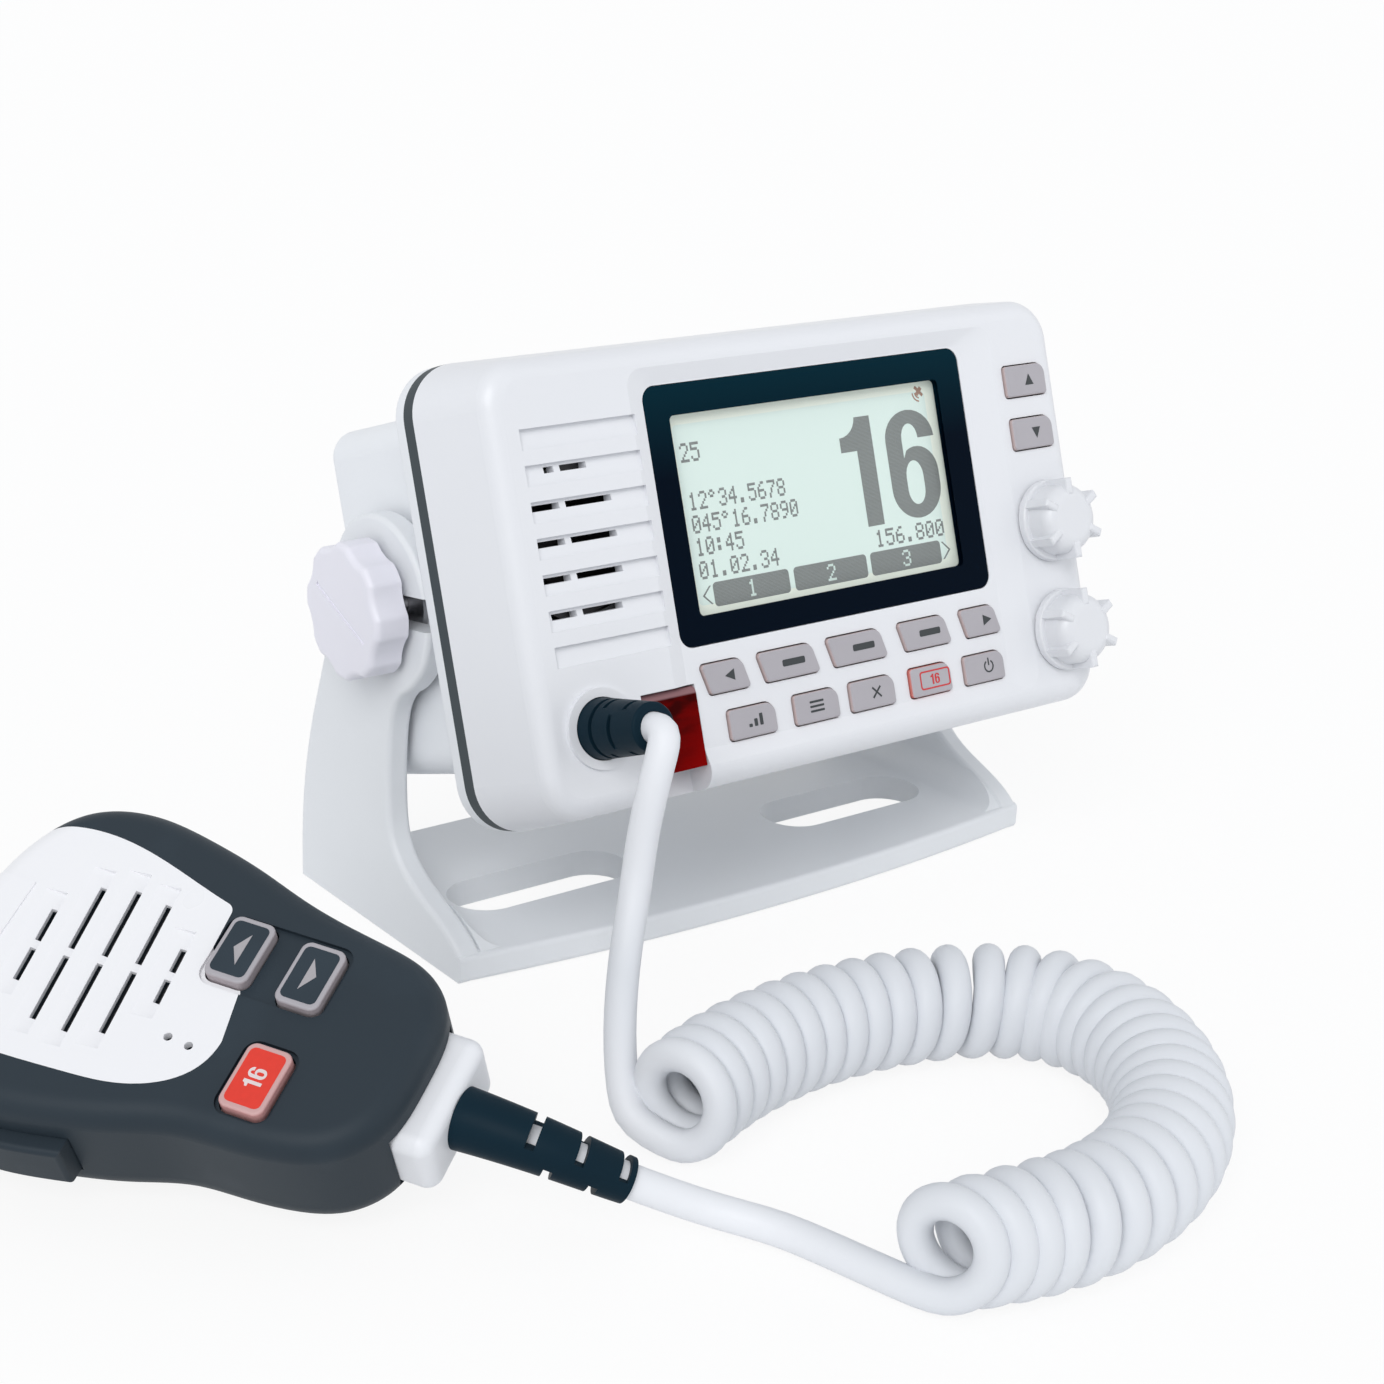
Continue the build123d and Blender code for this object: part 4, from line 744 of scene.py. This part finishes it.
def dot_text(lines):
    """Thin relief of numbers made of square dots."""
    made = bmesh.new()
    for text, left, foot, height, advance in lines:
        cell_high = height / DOT_ROWS
        cell_wide = advance * SIGN_SHARE / DOT_COLUMNS
        corners = {}
        for index, sign in enumerate(text):
            for row, dots in enumerate(DOT_FONT[sign]):
                for column, dot in enumerate(dots):
                    if dot != "#":
                        continue
                    square = []
                    for dx, dy in ((0, 0), (1, 0), (1, 1), (0, 1)):
                        key = (index, column + dx, DOT_ROWS - 1 - row + dy)
                        if key not in corners:
                            corners[key] = made.verts.new((left + index * advance + key[1] * cell_wide,
                                                           foot + key[2] * cell_high, 0.0))
                        square.append(corners[key])
                    made.faces.new(square)
    faces = made.faces[:]
    raised = bmesh.ops.extrude_face_region(made, geom=faces)
    tops = [item for item in raised["geom"] if isinstance(item, bmesh.types.BMVert)]
    bmesh.ops.translate(made, verts=tops, vec=(0, 0, PRINT))
    bmesh.ops.recalc_face_normals(made, faces=made.faces)
    return built_mesh("dots", made)


def chevron(tip_x, foot_x, middle_y, half, width):
    """Open arrowhead that points along X, a little thicker at its tip."""
    way = 1.0 if tip_x > foot_x else -1.0
    return [(foot_x, middle_y + half), (tip_x, middle_y), (foot_x, middle_y - half),
            (foot_x - way * width, middle_y - half), (tip_x - way * width * ARROW_TIP, middle_y),
            (foot_x - way * width, middle_y + half)]


class RADIO_OT_fill_display(bpy.types.Operator):
    """Put plain numbers and soft-key boxes on the display"""

    bl_idname = "radio.fill_display"
    bl_label = "Fill display"

    def execute(self, context):
        look = context.scene.radio_display
        ink = display_ink("display_ink", look.ink, look.ground)
        ground = display_ink("display_number_ground", shade(look.ground, 1.05), look.ground)
        copper = display_ink("display_signal_ink", (0.42, 0.2, 0.13), look.ground)
        sheet = panel_frame(0, 0, DISPLAY_FACE)

        channel = moved(sixteen(CHANNEL_HEIGHT), *CHANNEL_PLACE)
        new_print("display_channel", channel, sheet, ink, "radio")
        lines = dot_text(DISPLAY_LINES)
        lines.transform(sheet)
        new_piece("display_readings", lines, ink, "radio")

        boxes = [rounded(left, right, SOFT_BOX_FOOT, SOFT_BOX_TOP, 0.9) for left, right in SOFT_BOXES]
        boxes += [chevron(*ends, *SOFT_ARROW) for ends in SOFT_ARROWS]
        new_print("display_soft_boxes", boxes, sheet, ink, "radio")
        aside, above, *size = SOFT_NUMBER
        labels = [(str(i + 1), (left + right) / 2 - aside, SOFT_BOX_FOOT + above, *size)
                  for i, (left, right) in enumerate(SOFT_BOXES)]
        numbers = dot_text(labels)
        numbers.transform(panel_frame(0, 0, DISPLAY_FACE + PRINT))
        new_piece("display_soft_numbers", numbers, ground, "radio")

        waves = [ring(radius, SIGNAL_STROKE, 180, 262, 8)[0] for radius in SIGNAL_WAVES]
        marks = moved(SIGNAL_CRAFT, *SIGNAL_PLACE) + moved(waves, *SIGNAL_WAVES_PLACE)
        new_print("display_signal_mark", marks, sheet, copper, "radio")
        return {"FINISHED"}


# -------------------- signs on the keys
def triangle(tip, base, half):
    """Solid triangle along X."""
    return [[(tip, 0.0), (base, half), (base, -half)]]


def bar(width, height):
    """Short bar with round ends."""
    return [rounded(-width / 2, width / 2, -height / 2, height / 2, height * 0.25)]


def power_sign(radius=1.45, width=0.36):
    """Open ring with a stroke through its gap."""
    stroke = rounded(-width / 2, width / 2, 0.15, radius + 0.45, width * 0.3, 2)
    return ring(radius, width, 122, 418) + [stroke]


def level_sign():
    """Three bars that rise from low to high."""
    bars = ((-2.0, -0.55), (-0.55, 0.35), (0.9, 1.25))
    return [rounded(left, left + 0.85, -1.25, top, 0.15, 2) for left, top in bars]


def list_sign():
    """Three lines of a list."""
    return [rounded(-1.9, 1.9, y - 0.24, y + 0.24, 0.12, 2) for y in (-1.0, 0.0, 1.0)]


def cross_sign(half=1.15, width=0.42):
    """Cross made of one outline."""
    w = width / 2 * math.sqrt(2)
    arm = [(half + w / 2, half - w / 2), (half - w / 2, half + w / 2), (0.0, w)]
    return [sum((moved([arm], turn=90 * quarter)[0] for quarter in range(4)), [])]


def framed_sixteen():
    """Channel number in a round-cornered frame."""
    frame_loops = [rounded(-4.4, 4.4, -2.05, 2.05, 0.7), rounded(-4.05, 4.05, -1.7, 1.7, 0.45)]
    return frame_loops + sixteen(2.3)


UPPER_ROW = -23.75
LOWER_ROW = -34.1
FIELD_KEY_TOP = 18.4
SIDE_KEY_TOP = 19.7
# Key: outlines of its sign, the middle of the sign on the panel, and the top of the key.
KEY_SIGNS = {
    "key_left": (triangle(-1.35, 1.15, 1.2), (-28.4, UPPER_ROW), FIELD_KEY_TOP),
    "key_soft_1": (bar(6.1, 1.45), (-11.3, UPPER_ROW), FIELD_KEY_TOP),
    "key_soft_2": (bar(6.1, 1.45), (8.3, UPPER_ROW), FIELD_KEY_TOP),
    "key_soft_3": (bar(6.1, 1.45), (27.6, UPPER_ROW), FIELD_KEY_TOP),
    "key_right": (triangle(1.35, -1.15, 1.2), (44.9, UPPER_ROW), FIELD_KEY_TOP),
    "key_level": (level_sign(), (-23.5, LOWER_ROW), FIELD_KEY_TOP),
    "key_menu": (list_sign(), (-6.9, LOWER_ROW), FIELD_KEY_TOP),
    "key_clear": (cross_sign(), (10.0, LOWER_ROW), FIELD_KEY_TOP),
    "key_call": (framed_sixteen(), (27.1, LOWER_ROW), FIELD_KEY_TOP),
    "key_power": (power_sign(), (43.4, LOWER_ROW), FIELD_KEY_TOP),
    "key_up": (moved(triangle(1.35, -1.15, 1.3), turn=90), (67.3, 27.9), SIDE_KEY_TOP),
    "key_down": (moved(triangle(1.35, -1.15, 1.3), turn=-90), (67.3, 15.9), SIDE_KEY_TOP),
}


class RADIO_OT_print_keys(bpy.types.Operator):
    """Print the plain signs on the keys of the front panel"""

    bl_idname = "radio.print_keys"
    bl_label = "Print keys"

    def execute(self, context):
        dark = printed("legend_dark", context.scene.radio_housings.legends)
        red = printed("legend_red", (0.62, 0.035, 0.04))
        for key, (loops, (x, y), top) in KEY_SIGNS.items():
            special = key == "key_call"
            new_print(key + "_sign", loops, panel_frame(x, y, top), red if special else dark, key + "_cap")
        return {"FINISHED"}


MIC_KEY_TOP = 1.3
MIC_INSET = (6.9, 10.9)  # dark inlay in the top of a microphone key
MIC_INSET_CORNER = 1.1
MIC_SIGNS = {  # key: middle of its top, and outlines of its sign
    "mic_key_up": ((22.9, 9.3), triangle(-1.2, 0.8, 3.3)),
    "mic_key_down": ((37.3, 8.6), triangle(1.2, -0.8, 3.3)),
    "mic_key_call": ((38.2, -13.0), moved(sixteen(3.4), turn=90)),
}


class RADIO_OT_print_microphone(bpy.types.Operator):
    """Inlay the keys of the microphone and print their signs"""

    bl_idname = "radio.print_microphone"
    bl_label = "Print microphone"

    def execute(self, context):
        look = context.scene.radio_housings
        dark = handled_rubber("mic_key_inlay_dark", shade(look.microphone, 1.15))
        red = printed("mic_key_inlay_red", (0.78, 0.035, 0.016))
        light = printed("mic_legend_light", (0.42, 0.4, 0.42))
        white = printed("mic_legend_white", (0.8, 0.7, 0.7))
        width, height = MIC_INSET
        for key, ((x, y), sign) in MIC_SIGNS.items():
            special = key == "mic_key_call"
            outline = [rounded(-width / 2, width / 2, -height / 2, height / 2, MIC_INSET_CORNER)]
            new_print(key + "_inlay", outline, mic_frame(x, y, MIC_KEY_TOP), red if special else dark,
                      key + "_cap")
            new_print(key + "_sign", sign, mic_frame(x, y, MIC_KEY_TOP + PRINT), white if special else light,
                      key + "_cap")
        return {"FINISHED"}


# -------------------- curly cord, in millimetres
CORD_NODES = ("cord_drop", "cord_coil", "cord_tail")
OUTLET = (-62.5, -28.75)
RELIEF_LENGTH = 18.5
RELIEF_SOCKET = 3.0  # how far the cord reaches into the relief
MOUTH_LEAD = 2.0
DROP_ROUTE = [(-63.8, -69.2, 66.6), (-66.0, -69.8, 60.5), (-67.6, -69.8, 54.0), (-69.0, -69.6, 46.0),
              (-70.8, -70.6, 36.5), (-76.5, -75.6, 26.4), (-83.2, -83.6, 17.6), (-88.6, -92.2, 10.6),
              (-90.2, -97.4, 5.6)]
COIL_ROUTE = [(-86.3, -106.0), (-75.0, -101.2), (-62.0, -98.0), (-48.0, -96.4), (-34.0, -97.4),
              (-20.0, -100.6), (-8.0, -106.2), (1.0, -114.6), (4.6, -126.0), (2.4, -139.2),
              (-6.0, -154.0), (-19.0, -165.6), (-34.0, -172.4), (-49.0, -174.6), (-62.0, -173.0),
              (-79.6, -168.8)]
TAIL_ROUTE = [(-83.2, -156.6, 3.3), (-85.4, -148.0, 3.3), (-88.4, -138.4, 3.4), (-95.6, -128.2, 4.2),
              (-108.4, -122.6, 11.0)]
BOOT_DEPTH = -14.9  # middle of the microphone's boot, below its face
BOOT_LEAD = 80.5
BOOT_START = 58.5
COIL_LIFT = 11.65  # middle of the coil above the surface
TURN_STEPS = 14  # points of the spline in one turn
LOOSE_TURN = 0.345  # share of the coil's length where two turns stand apart
LOOSE_WIDTH = 0.03  # share of the length over which they do
LOOSE_GAP = 0.3  # how much faster the length grows there
END_TURNS = 4.0  # turns over which the last ring swings round to the tail
END_FACING = Vector((-0.90, -0.44, 0.0)).normalized()
CORD_SIDES = 20
COIL_RESOLUTION = 24  # points between two of the spline's own
CORD_RESOLUTION = 3


def mouth_points():
    """Where the cord starts in the panel's relief, and a point straight out of it."""
    mouth = FACE_HEIGHT + RELIEF_LENGTH
    return [panel_frame(*OUTLET, mouth + d).translation / MM for d in (-RELIEF_SOCKET, 0.0, MOUTH_LEAD)]


def spread_turns(share):
    """Share of the turns to share of the coil's length, which grows faster where two turns stand apart."""
    return share + LOOSE_GAP * LOOSE_WIDTH * math.tanh((share - LOOSE_TURN) / LOOSE_WIDTH)


def coil_points(look):
    """Points of the helix round the coil's own line."""
    axis = spline_points([(x, y, COIL_LIFT) for x, y in COIL_ROUTE], COIL_RESOLUTION)
    reach = [0.0]
    for before, here in zip(axis, axis[1:]):
        reach.append(reach[-1] + (here - before).length)
    radius = (look.ring - look.diameter) / 2 / MM / math.cos(math.pi / TURN_STEPS)
    total = look.turns * TURN_STEPS
    low, high = spread_turns(0.0), spread_turns(1.0)
    points = []
    segment = 0
    for i in range(total + 1):
        along = (spread_turns(i / total) - low) / (high - low) * reach[-1]
        while segment < len(axis) - 2 and reach[segment + 1] < along:
            segment += 1
        part = (along - reach[segment]) / (reach[segment + 1] - reach[segment])
        centre = axis[segment].lerp(axis[segment + 1], part)
        forward = (axis[segment + 1] - axis[segment]).normalized()
        turns_left = (total - i) / TURN_STEPS
        if turns_left < END_TURNS:
            swing = 1 - turns_left / END_TURNS
            forward = forward.lerp(END_FACING, swing * swing * (3 - 2 * swing)).normalized()
        side = forward.cross(UP)
        angle = 2 * math.pi * i / TURN_STEPS
        points.append(centre + radius * (math.sin(angle) * side - math.cos(angle) * UP))
    return points


def tube_mesh(name, path, radius, sides):
    """Closed round tube along a path, its rings carried along without twisting."""
    made = bmesh.new()
    rings = []
    heading = (path[1] - path[0]).normalized()
    across = heading.orthogonal().normalized()
    for index, place in enumerate(path):
        before = path[max(index - 1, 0)]
        after = path[min(index + 1, len(path) - 1)]
        heading = (after - before).normalized()
        across = (across - heading * across.dot(heading)).normalized()
        other = heading.cross(across)
        around = []
        for side in range(sides):
            angle = 2 * math.pi * side / sides
            outward = math.cos(angle) * across + math.sin(angle) * other
            around.append(made.verts.new(place + radius * outward))
        rings.append(around)
    for first, second in zip(rings, rings[1:]):
        for side in range(sides):
            following = (side + 1) % sides
            made.faces.new((first[side], first[following], second[following], second[side]))
    made.faces.new(rings[0][::-1])
    made.faces.new(rings[-1])
    for face in made.faces:
        face.smooth = len(face.verts) == 4
    return built_mesh(name, made)


class RADIO_OT_lay_cord(bpy.types.Operator):
    """Lay the curly cord from the panel's relief to the microphone's boot"""

    bl_idname = "radio.lay_cord"
    bl_label = "Lay cord"

    def execute(self, context):
        look = context.scene.radio_cord
        start, mouth, lead = mouth_points()
        boot = [mic_frame(x, 0, BOOT_DEPTH).translation / MM for x in (BOOT_LEAD, BOOT_START)]
        route = [start, lead, *DROP_ROUTE, *coil_points(look), *TAIL_ROUTE, *boot]
        path = [place * MM for place in spline_points(route, CORD_RESOLUTION)]
        length = sum((b - a).length for a, b in zip(path, path[1:]))
        print("cord length", round(length, 4), "m")
        cord = new_piece("curly_cord", tube_mesh("curly_cord", path, look.diameter / 2, CORD_SIDES),
                         cord_jacket("cord_jacket", look.colour, look.coil), None)
        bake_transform(cord)
        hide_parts(*CORD_NODES)
        return {"FINISHED"}


# -------------------- stage
CAMERA_PLACE = Vector((-336.94, -423.01, 237.61))
CAMERA_RIGHT = Vector((0.794, -0.6064, 0.0429))
CAMERA_UP = Vector((0.1741, 0.2944, 0.9397))
CAMERA_AWAY = Vector((0.5825, 0.7386, -0.3394))
# Lamp: the way to it from the set, how wide it looks in degrees, and the property with its strength.
LAMPS = {
    "key_lamp": ((-0.62, -0.50, 0.62), 35.0, "key_light"),
    "fill_lamp": ((0.75, -0.55, 0.36), 60.0, "fill_light"),
}
SENSOR_WIDTH = 36.0
CLIP = (0.01, 100.0)  # nearest and furthest that the camera sees, in metres
FLOOR_SIZE = 60.0
FLOOR_BELOW = 0.0003  # floor's gap below the set's feet
FLOOR_SHARE = 0.12  # how much of the floor's look is its lit surface


class RADIO_OT_set_stage(bpy.types.Operator):
    """Set up the floor, the lamps, the room and the camera"""

    bl_idname = "radio.set_stage"
    bl_label = "Set stage"

    def execute(self, context):
        look = context.scene.radio_stage
        scene = context.scene
        scene.view_settings.view_transform = "Standard"

        camera = bpy.data.objects.new("camera", bpy.data.cameras.new("camera"))
        scene.collection.objects.link(camera)
        camera.data.sensor_width = SENSOR_WIDTH
        camera.data.lens = look.lens
        camera.data.clip_start, camera.data.clip_end = CLIP
        turn = Matrix((CAMERA_RIGHT, CAMERA_UP, -CAMERA_AWAY)).transposed()
        camera.matrix_world = Matrix.Translation(CAMERA_PLACE * MM) @ turn.to_4x4()
        scene.camera = camera

        for name, (way, width, strength) in LAMPS.items():
            light = bpy.data.lights.new(name, "SUN")
            light.angle = math.radians(width)
            light.energy = getattr(look, strength) * math.pi
            lamp = bpy.data.objects.new(name, light)
            lamp.location = way
            lamp.rotation_euler = Vector(way).to_track_quat("Z", "Y").to_euler()
            scene.collection.objects.link(lamp)

        self.light_room(scene, look)
        self.lay_floor(scene, look)
        return {"FINISHED"}

    def light_room(self, scene, look):
        """Even light from all sides, with white where it is seen or mirrored."""
        world = bpy.data.worlds.new("room")
        scene.world = world
        world.use_nodes = True
        shading = Shading(world.node_tree)
        background = shading.tree.nodes["Background"]
        shading.join(background.inputs["Color"], look.room_colour)
        shading.join(background.inputs["Strength"], look.room)
        room = Socket(shading, background.outputs[0])
        white = shading.node("ShaderNodeBackground", None, {"Color": WHITE, "Strength": 1.0})
        shading.show(room, shading.behind_object(), white)

    def lay_floor(self, scene, look):
        """Pale floor that keeps the set's shadow."""
        made = bmesh.new()
        bmesh.ops.create_grid(made, x_segments=1, y_segments=1, size=FLOOR_SIZE / 2)
        mesh = built_mesh("floor", made)
        paint = Paint("floor_white", look.floor, 0.9, Specular_IOR_Level=0.0)
        paint.set("Base Color", paint.mix(paint.noise(3.0), look.floor, shade(look.floor, 0.99)))
        glow = paint.node("ShaderNodeEmission", None, {"Color": WHITE, "Strength": 1.0})
        lit = Socket(paint, paint.shader.outputs[0])
        paint.show(lit, paint.behind_object() * (1 - FLOOR_SHARE), glow)
        floor = bpy.data.objects.new("floor", mesh)
        scene.collection.objects.link(floor)
        mesh.materials.append(paint.material)
        floor.location.z = -FLOOR_BELOW


# -------------------- add-on
class RADIO_PT_tools(bpy.types.Panel):
    """Sizes, colours and steps of the radio"""

    bl_idname = "RADIO_PT_tools"
    bl_label = "Marine VHF radio"
    bl_space_type = "VIEW_3D"
    bl_region_type = "UI"
    bl_category = "Radio"

    def draw(self, context):
        for group in SETTINGS:
            box = self.layout.box()
            settings = getattr(context.scene, group)
            for name in settings.__annotations__:
                box.prop(settings, name)
        for step in STEPS:
            self.layout.operator(step.bl_idname)


STEPS = (RADIO_OT_set_stage, RADIO_OT_lay_cord, RADIO_OT_dress_housings, RADIO_OT_fill_display,
         RADIO_OT_print_keys, RADIO_OT_print_microphone)
SETTINGS = {"radio_cord": CordSettings, "radio_housings": HousingSettings, "radio_display": DisplaySettings,
            "radio_stage": StageSettings}


def register():
    for kind in (*SETTINGS.values(), *STEPS, RADIO_PT_tools):
        bpy.utils.register_class(kind)
    for name, kind in SETTINGS.items():
        setattr(bpy.types.Scene, name, PointerProperty(type=kind))


def unregister():
    for name in SETTINGS:
        delattr(bpy.types.Scene, name)
    for kind in reversed((*SETTINGS.values(), *STEPS, RADIO_PT_tools)):
        bpy.utils.unregister_class(kind)


def main():
    register()
    for step in STEPS:
        group, name = step.bl_idname.split(".")
        getattr(getattr(bpy.ops, group), name)()


if __name__ == "__main__":
    main()
